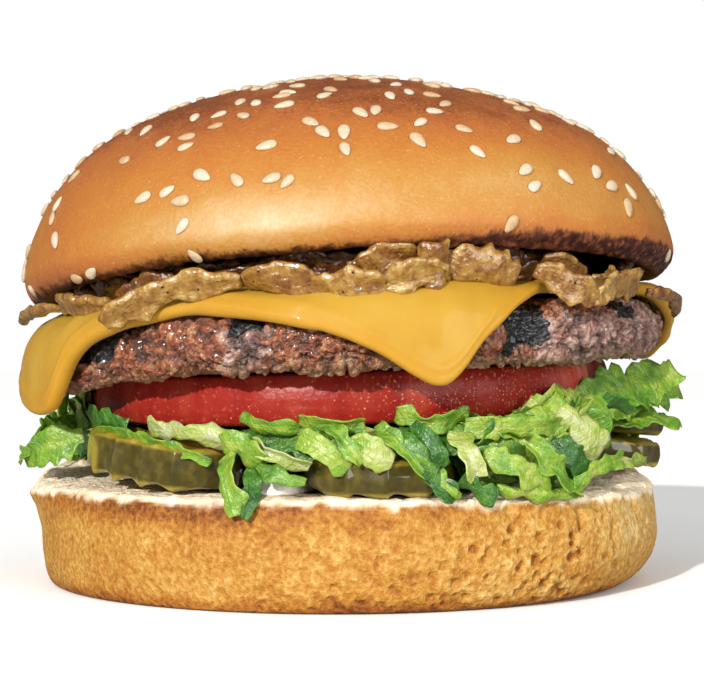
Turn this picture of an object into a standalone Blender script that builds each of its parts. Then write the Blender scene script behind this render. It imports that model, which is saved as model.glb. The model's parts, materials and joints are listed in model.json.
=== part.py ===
"""A cheeseburger, built the way it is stacked.

From the table up: bottom bun, mayonnaise, pickle slices, a heap of shredded lettuce, one tomato
slice, the beef patty, a square cheese slice that has melted over its rim, browned onions and the
seeded top bun. The origin is the centre of the bottom bun's flat base, +Z is up and the side that
was dressed to be looked at faces -Y.

Every size below is in millimetres. new_object() turns them into metres.
"""

import math
import random

import bmesh
import bpy
import numpy as np
from mathutils import Euler, Matrix, Vector, noise
from mathutils.bvhtree import BVHTree

MM = 0.001
GAP = 0.3  # air left between two pieces that rest on each other
STATIONS = 48  # corners round each layer
PATTY_STATIONS = 54

# Bottom bun
HEEL_RADIUS = 53.8
HEEL_BASE_RADIUS = 48.2
HEEL_BASE_SHIFT = (-3.0, -2.0)  # the base lies off to the left and the front
HEEL_CORNER = 9.4  # height of the rounding above the base
HEEL_RIM_RADIUS = 52.8
HEEL_RIM_HEIGHT = 16.4
CRUMB_HEIGHT = 16.9
CRUMB_SWELL_LEFT = 2.8  # the crumb stands this much higher near the rim
CRUMB_SWELL_RIGHT = 2.8
CRUMB_INSETS = (0.0, 1.5, 4.0, 8.0)  # from the crust's rim inwards
CRUMB_RISE = (0.0, 0.5, 0.85, 1.0)  # share of the way up to the crumb's height

# Mayonnaise
MAYO_THICKNESS = 1.1
MAYO_RADIUS = 23.0  # where the pickles press on it
# Where it runs out between the pickles: direction, width in degrees, how far
MAYO_LOBES = (
    (255.0, 5.0, 27.5),
    (317.0, 8.0, 22.0),
    (30.0, 6.0, 18.0),
    (91.0, 5.0, 22.0),
    (168.0, 12.0, 22.0),
)

# Tomato slice: each face is a plane, height + slope_x * x + slope_y * y
TOMATO_RADIUS = 44.5
TOMATO_BOTTOM = (29.6, 0.030, 0.040)
TOMATO_TOP = (36.7, 0.035, 0.012)

# Beef patty
PATTY_RADIUS = 54.0
PATTY_TOP = (47.8, 0.035, 0.006)
PATTY_DOME = 1.2
PATTY_DROOP = 4.6  # how far its left end sags
PATTY_SHOULDER = 4.0
CRAG_DEPTH = 1.5
CRAG_CELL = 6.5

# Cheese slice
CHEESE_HALF_SIDE = 50.0
CHEESE_CENTRE = (-2.5, -1.0)
CHEESE_TURN = math.radians(-28.0)  # direction of one edge, so that a corner faces the front
CHEESE_THICKNESS = 2.4
CHEESE_CORNER_POWER = 8.0  # how square the corners stay
# How the melting slice has run: direction, width in degrees, how much further out its edge lies
CHEESE_RUNS = (
    (243.0, 20.0, 2.6),
    (212.0, 6.0, 5.0),
    (184.0, 9.0, 3.2),
    (281.0, 8.0, 0.8),
    (298.0, 8.0, -4.0),
    (332.0, 15.0, -2.2),
    (17.0, 12.0, 2.0),
)
CHEESE_FLAT_RINGS = (26.0, 43.0)
CHEESE_FOLD_RINGS = 5
CHEESE_CLEARANCE = 0.7
FOLD_START = 3.3  # inside the patty's rim
FOLD_STAND_OFF = 1.2  # outside it, where the slice hangs
FOLD_END = math.radians(84.0)

# Top bun
CROWN_RADIUS = 57.0
CROWN_TOP = 86.6
CROWN_RIM_HEIGHT = 49.6
CROWN_LEAN = 2.6  # the right side stands this much higher than the middle, the left lower
CROWN_LIFT = 4.6  # how far the onions lift the front rim
CROWN_POWER = 2.06  # how slowly the dome falls away from its top
CROWN_FULLNESS = 2.38  # how steeply it ends
CROWN_BASE = -1.3  # where the dome's curve would end, from the rim up
CROWN_UNDER_RADII = (0.0, 25.0, 44.0, 50.0, 53.0)
CROWN_UNDER_CENTRE = 53.7
CROWN_RINGS = 9

# Sesame seeds
SEED_SIZE = (3.3, 1.9, 1.1)
SEED_COUNT = 56
SEED_SPREAD = 54.0
GOLDEN_ANGLE = math.pi * (3.0 - math.sqrt(5.0))

# Lettuce: the leaves that show most are placed, by direction, distance out and height of three
# points along them and by their width, and the shreds between them are scattered
LETTUCE_CORE_RADIUS = 44.0
LETTUCE_PLUG_RADIUS = 17.0
LETTUCE_SHREDS = 28
LETTUCE_THICKNESS = 0.9
LEAVES = (
    ((-38.0, 41.0, 27.4), (-19.0, 50.0, 28.5), (-3.0, 58.2, 33.4), 6.0),
    ((-33.0, 41.0, 27.0), (-22.0, 51.0, 25.5), (-13.0, 57.0, 27.5), 5.5),
    ((184.0, 34.0, 26.6), (182.0, 49.0, 26.6), (189.0, 57.4, 21.5), 4.0),
    ((170.0, 40.0, 26.0), (173.0, 49.0, 26.5), (175.0, 56.5, 22.0), 5.5),
    ((251.0, 42.0, 26.4), (253.0, 51.0, 24.0), (254.0, 55.6, 14.6), 4.6),
    ((243.0, 42.0, 26.9), (246.0, 50.0, 25.4), (250.0, 53.5, 21.0), 6.0),
    ((306.0, 42.0, 26.0), (304.0, 49.0, 21.5), (300.0, 54.5, 18.0), 6.0),
)

# Onions
ONION_CORE_RADIUS = 38.0
ONION_PIECES = 22

TURN = 2.0 * math.pi
RIGHT, BACK, LEFT, FRONT = 0.0, 90.0, 180.0, 270.0

COLOURS = {
    "bottom_bun": (0.80, 0.50, 0.20),
    "mayonnaise": (0.93, 0.90, 0.86),
    "pickle": (0.30, 0.28, 0.06),
    "lettuce": (0.42, 0.62, 0.12),
    "tomato": (0.66, 0.08, 0.05),
    "patty": (0.24, 0.11, 0.06),
    "cheese": (0.96, 0.62, 0.10),
    "onion": (0.50, 0.34, 0.12),
    "top_bun": (0.76, 0.42, 0.14),
}
ROUGHNESS = {
    "bottom_bun": 0.75,
    "mayonnaise": 0.25,
    "pickle": 0.25,
    "lettuce": 0.4,
    "tomato": 0.3,
    "patty": 0.55,
    "cheese": 0.35,
    "onion": 0.25,
    "top_bun": 0.5,
}


def polar(radius, angle, height):
    return Vector((radius * math.cos(angle), radius * math.sin(angle), height))


def smooth(share):
    share = min(1.0, max(0.0, share))
    return share * share * (3.0 - 2.0 * share)


def near(angle, centre_deg, width_deg):
    """1 where the angle is centre_deg, fading to 0 within about two widths."""
    away = (math.degrees(angle) - centre_deg + 180.0) % 360.0 - 180.0
    return math.exp(-((away / width_deg) ** 2))


def uneven(radius, angle, height, cell, seed):
    """Smooth noise from about -1 to 1 that closes up round the stack."""
    place = polar(radius, angle, height) / cell
    return noise.noise(place + Vector((17.3 * seed, 5.1 * seed, 2.9 * seed)))


def on_plane(plane, radius, angle):
    height, slope_x, slope_y = plane
    x, y, _ = polar(radius, angle, 0.0)
    return height + slope_x * x + slope_y * y


def material(kind):
    found = bpy.data.materials.get(kind)
    if found is None:
        found = bpy.data.materials.new(kind)
        found.use_nodes = True
        shader = found.node_tree.nodes["Principled BSDF"]
        shader.inputs["Base Color"].default_value = (*COLOURS[kind], 1.0)
        shader.inputs["Roughness"].default_value = ROUGHNESS[kind]
        shader.inputs["Metallic"].default_value = 0.0
    return found


def new_object(name, shape, kind, parent=None):
    """Makes a named object in metres from a bmesh in millimetres."""
    bmesh.ops.recalc_face_normals(shape, faces=shape.faces)
    shape.transform(Matrix.Scale(MM, 4))
    mesh = bpy.data.meshes.new(name)
    shape.to_mesh(mesh)
    shape.free()
    mesh.shade_smooth()
    mesh.set_sharp_from_angle(angle=math.radians(50.0))
    mesh.materials.append(material(kind))
    made = bpy.data.objects.new(name, mesh)
    bpy.context.scene.collection.objects.link(made)
    made.parent = parent
    return made


def close_rings(shape, bottom, columns, top):
    """Faces over columns of corners that stand round an axis, from one centre to the other."""
    for here, after in zip(columns, columns[1:] + columns[:1]):
        shape.faces.new((bottom, after[0], here[0]))
        for k in range(len(here) - 1):
            shape.faces.new((here[k], after[k], after[k + 1], here[k + 1]))
        shape.faces.new((here[-1], after[-1], top))


def turned(profile, stations=STATIONS):
    """A closed lathe shape. profile(angle) gives (radius, height) from the bottom centre to the
    top centre, and may change with the angle, as on uneven food."""
    shape = bmesh.new()
    angles = [TURN * k / stations for k in range(stations)]
    columns = [[shape.verts.new(polar(r, a, z)) for r, z in profile(a)[1:-1]] for a in angles]
    bottom = shape.verts.new((0.0, 0.0, profile(0.0)[0][1]))
    top = shape.verts.new((0.0, 0.0, profile(0.0)[-1][1]))
    close_rings(shape, bottom, columns, top)
    return shape


def surface_tree(made):
    """The object's faces, in millimetres, for measuring distances to it."""
    bpy.context.view_layer.update()
    place = made.matrix_world
    points = [place @ v.co / MM for v in made.data.vertices]
    return BVHTree.FromPolygons(points, [tuple(p.vertices) for p in made.data.polygons])


def is_clear(points, faces, trees, distance=GAP):
    """True if the piece crosses none of the surfaces and keeps its distance from them."""
    piece = BVHTree.FromPolygons(points, faces)
    for tree in trees:
        if piece.overlap(tree):
            return False
        if any(tree.find_nearest(p, distance)[0] is not None for p in points):
            return False
    return True


def ribbon(line, across, thickness):
    """A strip with a rectangular section along line, as points and faces. across holds half the
    strip's width as a vector at each point of the line."""
    points = []
    for k, centre in enumerate(line):
        ahead = (line[min(k + 1, len(line) - 1)] - line[max(k - 1, 0)]).normalized()
        up = across[k].cross(ahead).normalized() * (thickness / 2.0)
        points += [centre - across[k] - up, centre + across[k] - up]
        points += [centre + across[k] + up, centre - across[k] + up]
    faces = [(0, 1, 2, 3)]
    for k in range(len(line) - 1):
        for side in range(4):
            a, b = 4 * k + side, 4 * k + (side + 1) % 4
            faces += [(a, a + 4, b + 4), (a, b + 4, b)]
    last = 4 * (len(line) - 1)
    faces.append((last + 3, last + 2, last + 1, last))
    return points, faces


def add_piece(shape, points, faces):
    corners = [shape.verts.new(p) for p in points]
    for face in faces:
        shape.faces.new([corners[k] for k in face])


def object_of_pieces(name, pieces, kind, collection):
    for k, (points, faces) in enumerate(pieces):
        shape = bmesh.new()
        add_piece(shape, points, faces)
        made = new_object(f"{name}_{k}", shape, kind)
        bpy.context.scene.collection.objects.unlink(made)
        collection.objects.link(made)


def fuse(base, name, pieces, kind, solver="MANIFOLD"):
    """Joins the loose pieces to the base with one Boolean union and keeps the largest body."""
    collection = bpy.data.collections.new(name)
    bpy.context.scene.collection.children.link(collection)
    object_of_pieces(name, pieces, kind, collection)
    union = base.modifiers.new("union", "BOOLEAN")
    union.operation = "UNION"
    union.operand_type = "COLLECTION"
    union.collection = collection
    union.solver = solver
    bpy.context.view_layer.update()
    joined = bpy.data.meshes.new_from_object(
        base.evaluated_get(bpy.context.evaluated_depsgraph_get())
    )
    base.modifiers.remove(union)
    for loose in list(collection.objects):
        bpy.data.objects.remove(loose)
    bpy.data.collections.remove(collection)
    base.data = joined
    keep_largest_body(base)


def keep_largest_body(made):
    """Drops scraps that touch nothing, and fills hollows that the union has sealed."""
    shape = bmesh.new()
    shape.from_mesh(made.data)
    left = set(shape.faces)
    bodies = []
    while left:
        body, edge_of = set(), [left.pop()]
        while edge_of:
            face = edge_of.pop()
            body.add(face)
            for edge in face.edges:
                for other in edge.link_faces:
                    if other in left:
                        left.discard(other)
                        edge_of.append(other)
        bodies.append(body)
    bodies.sort(key=lambda body: sum(face.calc_area() for face in body))
    scraps = [face for body in bodies[:-1] for face in body]
    bmesh.ops.delete(shape, geom=scraps, context="FACES")
    shape.to_mesh(made.data)
    shape.free()


# Bottom bun


def heel_rim(angle):
    """Radius and height of the crust's upper rim: flared at the left, low at the right."""
    flare = near(angle, 188.0, 13.0)
    rough = uneven(HEEL_RADIUS, angle, 0.0, 14.0, 1)
    radius = HEEL_RIM_RADIUS + 3.0 * flare + 0.5 * rough
    height = HEEL_RIM_HEIGHT - 1.6 * flare - 1.0 * near(angle, RIGHT, 30.0) + 0.6 * rough
    return radius, height


def crumb_height(inset, angle):
    """Height of the cut crumb, inset millimetres in from the crust's rim."""
    rim_radius, rim = heel_rim(angle)
    swell = CRUMB_SWELL_LEFT * near(angle, 178.0, 20.0) + CRUMB_SWELL_RIGHT * near(angle, 0.0, 24.0)
    if inset > CRUMB_INSETS[-1]:
        return CRUMB_HEIGHT + swell * (rim_radius - inset) / (rim_radius - CRUMB_INSETS[-1])
    rise = np.interp(inset, CRUMB_INSETS, CRUMB_RISE)
    return rim + (CRUMB_HEIGHT + swell - rim) * float(rise)


def heel_profile(angle):
    rim_radius, rim_height = heel_rim(angle)
    side = HEEL_RADIUS + 0.6 * uneven(HEEL_RADIUS, angle, 8.0, 22.0, 2)
    shift_x, shift_y = HEEL_BASE_SHIFT
    base = HEEL_BASE_RADIUS + shift_x * math.cos(angle) + shift_y * math.sin(angle)
    profile = [(0.0, 0.0), (base, 0.0)]
    for step in (22.0, 45.0, 68.0, 90.0):
        turn = math.radians(step)
        height = HEEL_CORNER * (1.0 - math.cos(turn))
        profile.append((base + (side - base) * math.sin(turn), height))
    profile.append((0.6 * side + 0.4 * rim_radius, 13.0))
    profile.append((rim_radius, rim_height))
    profile += [(rim_radius - inset, crumb_height(inset, angle)) for inset in CRUMB_INSETS[1:]]
    profile.append((0.0, CRUMB_HEIGHT))
    return profile


def make_bottom_bun(parent):
    return new_object("bottom_bun", turned(heel_profile), "bottom_bun", parent)


# Mayonnaise


def mayo_radius(angle):
    """The pickles hold the spread in, and between them it runs out in lobes."""
    lobes = sum(reach * near(angle, centre, width) for centre, width, reach in MAYO_LOBES)
    return MAYO_RADIUS + lobes + 0.5 * uneven(46.0, angle, 0.0, 12.0, 3)


def mayo_height(radius, angle, above):
    """Height of a point this far above the crumb."""
    return crumb_height(heel_rim(angle)[0] - radius, angle) + above


def mayo_profile(angle):
    rim, _ = heel_rim(angle)
    edge = mayo_radius(angle)
    middle = min(rim - CRUMB_INSETS[2], edge - 0.8)
    inner = min(rim - CRUMB_INSETS[3], edge - 1.8)
    flat = inner - 8.0
    rings = [(0.0, GAP), (inner, GAP), (middle, GAP), (edge, GAP + 0.1), (edge + 0.3, GAP + 0.5)]
    rings += [(edge - 0.4, GAP + 0.95), (flat, GAP + MAYO_THICKNESS), (0.0, GAP + MAYO_THICKNESS)]
    return [(radius, mayo_height(radius, angle, above)) for radius, above in rings]


def make_mayonnaise(parent):
    return new_object("mayonnaise", turned(mayo_profile), "mayonnaise", parent)


# Pickles: name, its middle, half its length round the rim, half its depth towards the middle,
# thickness, and the slopes of its plane along x and y
PICKLES = (
    ("pickle_front", (4.6, -42.4, 20.9), 11.2, 9.6, 5.2, 0.0, 0.09),
    ("pickle_left", (-29.4, -31.6, 22.4), 14.2, 8.6, 6.4, -0.088, 0.082),
    ("pickle_right_lower", (40.8, -5.4, 22.85), 13.0, 12.4, 4.0, -0.085, 0.0),
    ("pickle_right_upper", (44.4, 3.2, 27.3), 11.0, 10.4, 3.4, -0.085, 0.0),
    ("pickle_back_right", (18.0, 34.2, 20.7), 13.5, 13.0, 4.6, -0.02, -0.06),
    ("pickle_back_left", (-19.6, 32.6, 20.7), 14.0, 13.0, 4.6, 0.02, -0.06),
)
PICKLE_POWER = 2.7  # above 2 the ends are blunt
PICKLE_STATIONS = 18
CRINKLE_PITCH = 5.2
CRINKLE_DEPTH = 0.45


def pickle_outline(angle, length, depth):
    """Distance from a slice's middle to its skin. It is blunt at both ends."""
    across, along = abs(math.cos(angle)) / depth, abs(math.sin(angle)) / length
    return (across**PICKLE_POWER + along**PICKLE_POWER) ** (-1.0 / PICKLE_POWER)


def pickle_shape(length, depth, thickness):
    """A crinkle-cut slice: the skin bulges, and both cut faces carry the same waves."""

    def profile(angle):
        outline = pickle_outline(angle, length, depth)
        wave = CRINKLE_DEPTH * math.sin(TURN * outline * math.sin(angle) / CRINKLE_PITCH)
        half = thickness / 2.0
        return [
            (0.0, -half),
            (outline - 0.8, -half + wave),
            (outline, -half + wave + 0.9),
            (outline, half + wave - 0.9),
            (outline - 0.8, half + wave),
            (0.0, half),
        ]

    return turned(profile, PICKLE_STATIONS)


def make_pickles(parent):
    made = []
    for name, middle, length, depth, thickness, slope_x, slope_y in PICKLES:
        piece = new_object(name, pickle_shape(length, depth, thickness), "pickle", parent)
        piece.location = Vector(middle) * MM
        up = Vector((-slope_x, -slope_y, 1.0)).normalized()
        lean = Vector((0.0, 0.0, 1.0)).rotation_difference(up).to_matrix()
        facing = Matrix.Rotation(math.atan2(middle[1], middle[0]), 3, "Z")
        piece.rotation_euler = (lean @ facing).to_euler()
        made.append(piece)
    return made


# Tomato


def tomato_radius(angle):
    """A nearly round slice with a blunt corner at the front right."""
    corner = 1.2 * near(angle, 322.0, 9.0) - 0.9 * near(angle, 300.0, 16.0)
    return TOMATO_RADIUS + corner + 0.5 * uneven(TOMATO_RADIUS, angle, 0.0, 30.0, 4)


def tomato_profile(angle):
    outer = tomato_radius(angle)
    edge = outer - 0.8

    def between(share):
        low = on_plane(TOMATO_BOTTOM, outer, angle)
        high = on_plane(TOMATO_TOP, outer, angle)
        return low + share * (high - low)

    return [
        (0.0, on_plane(TOMATO_BOTTOM, 0.0, angle)),
        (edge, on_plane(TOMATO_BOTTOM, edge, angle)),
        (outer, between(0.12)),
        (outer + 0.5, between(0.5)),
        (outer, between(0.88)),
        (edge, on_plane(TOMATO_TOP, edge, angle)),
        (0.0, on_plane(TOMATO_TOP, 0.0, angle)),
    ]


def make_tomato(parent):
    return new_object("tomato", turned(tomato_profile), "tomato", parent)


# Patty


def droop(angle, share):
    """How far the patty's left end sags, share of the way to its rim."""
    side = max(0.0, math.cos(angle - math.radians(LEFT)))
    return PATTY_DROOP * side**2.5 * smooth(share)


def patty_radius(angle):
    return PATTY_RADIUS + 0.7 * uneven(PATTY_RADIUS, angle, 0.0, 24.0, 5)


def patty_top(radius, angle):
    """The smooth upper surface that the crags are cut into and the cheese lies on."""
    dome = PATTY_DOME * (radius / 50.0) ** 3
    return on_plane(PATTY_TOP, radius, angle) - dome - droop(angle, (radius - 42.0) / 14.0)


def crag(radius, angle, height):
    """Depth of the ground meat's relief, never outwards."""
    return CRAG_DEPTH * abs(uneven(radius, angle, height, CRAG_CELL, 6)) ** 0.8


def patty_profile(angle):
    rim = patty_radius(angle)

    def under(radius):
        return on_plane(TOMATO_TOP, radius, angle) + GAP - droop(angle, (radius - 46.0) / 7.0)

    shoulder = patty_top(rim - PATTY_SHOULDER, angle)
    low = under(rim)
    side = [(-4.5, 0.0), (-1.6, 1.1), (-0.3, 3.0)]
    profile = [(0.0, under(0.0)), (24.0, under(24.0)), (46.0, under(46.0))]
    profile += [(rim + out, under(rim + out) + up) for out, up in side]
    profile += [(rim, low + 0.5 * (shoulder - low)), (rim - 0.4, shoulder - 2.6)]
    profile += [(rim - 1.9, shoulder - 0.9)]
    rough = [
        (r - crag(r, angle, z), z) if k > 2 else (r, z) for k, (r, z) in enumerate(profile)
    ]
    for radius in (rim - PATTY_SHOULDER - 0.6, 42.0, 24.0):
        height = patty_top(radius, angle)
        rough.append((radius, height - 0.5 * crag(radius, angle, height)))
    rough.append((0.0, patty_top(0.0, angle)))
    return rough


def make_patty(parent):
    return new_object("patty", turned(patty_profile, PATTY_STATIONS), "patty", parent)


# Cheese


def cheese_reach(turn):
    """Distance from the middle of the slice to its edge: a square with soft corners that has run
    a little."""
    across, along = abs(math.cos(turn)), abs(math.sin(turn))
    power = CHEESE_CORNER_POWER
    square = CHEESE_HALF_SIDE / (across**power + along**power) ** (1.0 / power)
    direction = CHEESE_TURN + turn
    return square + sum(more * near(direction, at, width) for at, width, more in CHEESE_RUNS)


def cheese_seat(radius, angle):
    """Height of the slice's lower face where it lies on the patty."""
    clear = CHEESE_CLEARANCE + 0.1 * droop(angle, (radius - 42.0) / 14.0)
    return patty_top(radius, angle) + clear


def cheese_path(run, angle):
    """Radius, height and downward slope after running this far from the middle over the patty,
    round its shoulder and down its side."""
    shoulder = patty_radius(angle) - FOLD_START
    if run <= shoulder:
        return run, cheese_seat(run, angle), 0.0
    start = math.atan(2.0 * (cheese_seat(shoulder - 0.5, angle) - cheese_seat(shoulder, angle)))
    bend = (FOLD_START + FOLD_STAND_OFF) / (math.sin(FOLD_END) - math.sin(start))
    slope = min(FOLD_END, start + (run - shoulder) / bend)
    radius = shoulder + bend * (math.sin(slope) - math.sin(start))
    height = cheese_seat(shoulder, angle) - bend * (math.cos(start) - math.cos(slope))
    hanging = max(0.0, run - shoulder - bend * (FOLD_END - start))
    radius += hanging * math.cos(FOLD_END)
    height -= hanging * math.sin(FOLD_END)
    return radius, height, slope


def cheese_point(turn, out, raised):
    """Where a point of the flat slice comes to lie: out from its middle in direction turn.
    raised is 0 on the face that touches the patty and 1 on the upper face."""
    flat = Vector((*CHEESE_CENTRE, 0.0)) + polar(out, CHEESE_TURN + turn, 0.0)
    angle = math.atan2(flat.y, flat.x)
    radius, height, slope = cheese_path(flat.length, angle)
    thin = 1.0 - 0.3 * smooth((out - 0.85 * cheese_reach(turn)) / (0.15 * cheese_reach(turn)))
    radius += raised * thin * CHEESE_THICKNESS * math.sin(slope)
    height += raised * thin * CHEESE_THICKNESS * math.cos(slope)
    return polar(radius, angle, height)


def cheese_profile(turn):
    reach = cheese_reach(turn)
    inner = CHEESE_FLAT_RINGS[-1]
    rings = list(CHEESE_FLAT_RINGS)
    rings += [inner + (reach - inner) * k / CHEESE_FOLD_RINGS for k in range(1, 6)]
    below = [cheese_point(turn, out, 0.0) for out in rings]
    above = [cheese_point(turn, out, 1.0) for out in rings]
    return below + above[::-1]


def make_cheese(parent):
    shape = bmesh.new()
    turns = [TURN * k / STATIONS for k in range(STATIONS)]
    rings = [[shape.verts.new(p) for p in cheese_profile(turn)] for turn in turns]
    bottom = shape.verts.new(cheese_point(0.0, 0.0, 0.0))
    top = shape.verts.new(cheese_point(0.0, 0.0, 1.0))
    close_rings(shape, bottom, rings, top)
    return new_object("cheese", shape, "cheese", parent)


# Top bun


def crown_rim(angle):
    """Height of the top bun's lower rim: it leans, and the onions lift its front."""
    lift = CROWN_LIFT * max(0.0, -math.sin(angle)) ** 1.3
    rough = 0.4 * uneven(CROWN_RADIUS, angle, 0.0, 16.0, 7)
    return CROWN_RIM_HEIGHT + CROWN_LEAN * math.cos(angle) + lift + rough


def crown_under(radius, angle):
    """Height of the cut underside, which is hollow in the middle."""
    rim = crown_rim(angle)
    lean = 0.5 * CROWN_LEAN * math.cos(angle)
    heights = (CROWN_UNDER_CENTRE, CROWN_UNDER_CENTRE + lean, rim + 3.4, rim + 1.5, rim)
    return float(np.interp(radius, CROWN_UNDER_RADII, heights))


def crown_point(plan_radius, angle):
    """The point of the dome above a place in plan."""
    share = min(1.0, plan_radius / CROWN_RADIUS)
    height = (1.0 - share**CROWN_POWER) ** (1.0 / CROWN_FULLNESS)
    base = crown_rim(angle) + CROWN_BASE
    return polar(plan_radius, angle, base + (CROWN_TOP - base) * height)


def crown_profile(angle):
    rim = crown_rim(angle)
    profile = [(r, crown_under(r, angle)) for r in CROWN_UNDER_RADII]
    profile += [(CROWN_RADIUS - 1.6, rim + 1.3), (CROWN_RADIUS - 0.3, rim + 3.1)]
    for ring in range(CROWN_RINGS + 1):
        turn = math.radians(6.0 + 84.0 * ring / CROWN_RINGS)
        radius = CROWN_RADIUS * math.cos(turn) ** (2.0 / CROWN_POWER)
        point = crown_point(radius if ring < CROWN_RINGS else 0.0, angle)
        profile.append((radius, point.z))
    profile[-1] = (0.0, CROWN_TOP)
    return profile


def seed_shape():
    """Corners and faces of one sesame seed, a flat drop with six sides."""
    drop = bmesh.new()
    bmesh.ops.create_uvsphere(drop, u_segments=6, v_segments=3, radius=0.5)
    drop.transform(Matrix.Rotation(math.pi / 2.0, 4, "Y"))
    length, width, height = SEED_SIZE
    points = []
    for corner in drop.verts:
        taper = 1.0 - 0.45 * (corner.co.x + 0.5)
        points.append(
            Vector((corner.co.x * length, corner.co.y * width * taper, corner.co.z * height))
        )
    faces = [tuple(v.index for v in face.verts) for face in drop.faces]
    drop.free()
    return points, faces


def seed_places(count):
    """Places on the dome, evenly spread in plan along a spiral, each with its own small shift."""
    shifts = random.Random(11)
    for k in range(count):
        radius = SEED_SPREAD * math.sqrt((k + 0.5) / count)
        angle = k * GOLDEN_ANGLE + shifts.uniform(-0.06, 0.06)
        radius = min(SEED_SPREAD, radius + shifts.uniform(-1.2, 1.2))
        yield radius, angle, shifts.uniform(0.0, TURN)


def make_top_bun(parent):
    crown = new_object("top_bun", turned(crown_profile), "top_bun", parent)
    points, faces = seed_shape()
    step = 0.01
    seeds = []
    for radius, angle, spin in seed_places(SEED_COUNT):
        centre = crown_point(radius, angle)
        outward = centre - crown_point(radius - step * CROWN_RADIUS, angle)
        around = crown_point(radius, angle + step) - centre
        normal = outward.cross(around).normalized()
        frame = normal.to_track_quat("Z", "Y").to_matrix().to_4x4()
        place = Matrix.Translation(centre) @ frame @ Matrix.Rotation(spin, 4, "Z")
        seeds.append(([place @ p for p in points], faces))
    fuse(crown, "sesame", seeds, "top_bun")
    return crown


# Lettuce


def pressed(angle):
    """1 where the heap lies squeezed between the tomato and pickles that stand high."""
    return min(1.0, near(angle, 2.0, 25.0) + near(angle, 206.0, 25.0))


def lettuce_brim(angle):
    return LETTUCE_CORE_RADIUS - 16.5 * pressed(angle)


def between_pickles(angle):
    """1 in the middle of the openings between the pickles, where the heap sinks to the spread."""
    openings = [near(angle, centre, 0.9 * width) for centre, width, _ in MAYO_LOBES]
    return max(openings) if pressed(angle) < 0.3 else 0.0


def lettuce_low(angle):
    """Height of the heap's underside near its brim."""
    top = on_plane(TOMATO_BOTTOM, lettuce_brim(angle), angle) - GAP
    return top - 2.3 + 1.3 * pressed(angle) - 4.2 * between_pickles(angle)


def lettuce_core_profile(angle):
    """A brim under the tomato, with a plug in the middle that reaches down to the spread."""
    above_spread = 2.0 * GAP + MAYO_THICKNESS
    plug = LETTUCE_PLUG_RADIUS
    brim = lettuce_brim(angle)
    top = [on_plane(TOMATO_BOTTOM, r, angle) - GAP for r in (brim, brim - 1.0, 0.0)]
    low = lettuce_low(angle)
    return [
        (0.0, CRUMB_HEIGHT + above_spread),
        (plug, mayo_height(plug, angle, above_spread)),
        (plug + 0.6, 26.7),
        (0.5 * (plug + brim), 26.5 - 3.0 * between_pickles(angle)),
        (brim - 1.2, low),
        (brim, 0.5 * (low + top[0])),
        (brim - 1.0, top[1]),
        (0.0, top[2]),
    ]


def leaf(points, width, roll):
    """One strip of lettuce along a curve through three points, turning about itself."""
    steps = 4
    (a0, r0, z0), (a1, r1, z1), (a2, r2, z2) = points
    line = []
    for k in range(steps + 1):
        t = k / steps
        shares = (2.0 * (t - 0.5) * (t - 1.0), 4.0 * t * (1.0 - t), 2.0 * t * (t - 0.5))
        radius, angle, height = (
            sum(share * value for share, value in zip(shares, values))
            for values in ((r0, r1, r2), (a0, a1, a2), (z0, z1, z2))
        )
        line.append(polar(radius, math.radians(angle), height))
    across = []
    for k in range(steps + 1):
        ahead = line[min(k + 1, steps)] - line[max(k - 1, 0)]
        level = Vector((-ahead.y, ahead.x, 0.0)).normalized()
        turn = Matrix.Rotation(roll * k / steps, 3, ahead.normalized())
        narrow = 1.0 - 0.4 * (k == steps)
        across.append(turn @ level * (0.5 * width * narrow))
    return ribbon(line, across, LETTUCE_THICKNESS)


def scattered_leaf(draw, direction):
    """A shred that comes out of the heap and then rises or hangs."""
    angle = math.radians(direction)
    inner = lettuce_brim(angle) - 2.2
    middle = 0.5 * (lettuce_low(angle) + on_plane(TOMATO_BOTTOM, inner, angle))
    run = draw.uniform(-22.0, 22.0)
    reach = draw.uniform(9.0, 14.0)
    rise = draw.choice((-1.0, -1.0, 1.0)) * draw.uniform(1.5, 7.0)
    points = (
        (direction, inner, middle),
        (direction + 0.5 * run, inner + 0.7 * reach, middle + 0.2 * rise + draw.uniform(-1.2, 1.2)),
        (direction + run, inner + reach, middle + rise),
    )
    return leaf(points, draw.uniform(4.5, 7.5), draw.uniform(-1.1, 1.1))


def make_lettuce(parent, neighbours):
    core = new_object("lettuce", turned(lettuce_core_profile), "lettuce", parent)
    trees = [surface_tree(other) for other in neighbours]
    shreds = []
    for *points, width in LEAVES:
        piece = leaf(points, width, 0.35)
        if is_clear(*piece, trees):
            shreds.append(piece)
    draw = random.Random(5)
    for k in range(LETTUCE_SHREDS):
        for _attempt in range(30):
            direction = 360.0 * (k + draw.uniform(-0.5, 0.5)) / LETTUCE_SHREDS
            piece = scattered_leaf(draw, direction)
            if is_clear(*piece, trees):
                shreds.append(piece)
                break
    fuse(core, "shreds", shreds, "lettuce")
    print(len(shreds), "shreds")
    return core


# Onions


def onion_core_profile(angle):
    radii = (0.0, 25.0, ONION_CORE_RADIUS)
    low = [cheese_seat(r, angle) + CHEESE_THICKNESS + GAP for r in radii]
    high = [crown_under(r, angle) - GAP for r in radii]
    profile = list(zip(radii, low))
    profile.append((ONION_CORE_RADIUS + 0.8, 0.5 * (low[2] + high[2])))
    profile += list(zip(radii, high))[::-1]
    return profile


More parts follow.
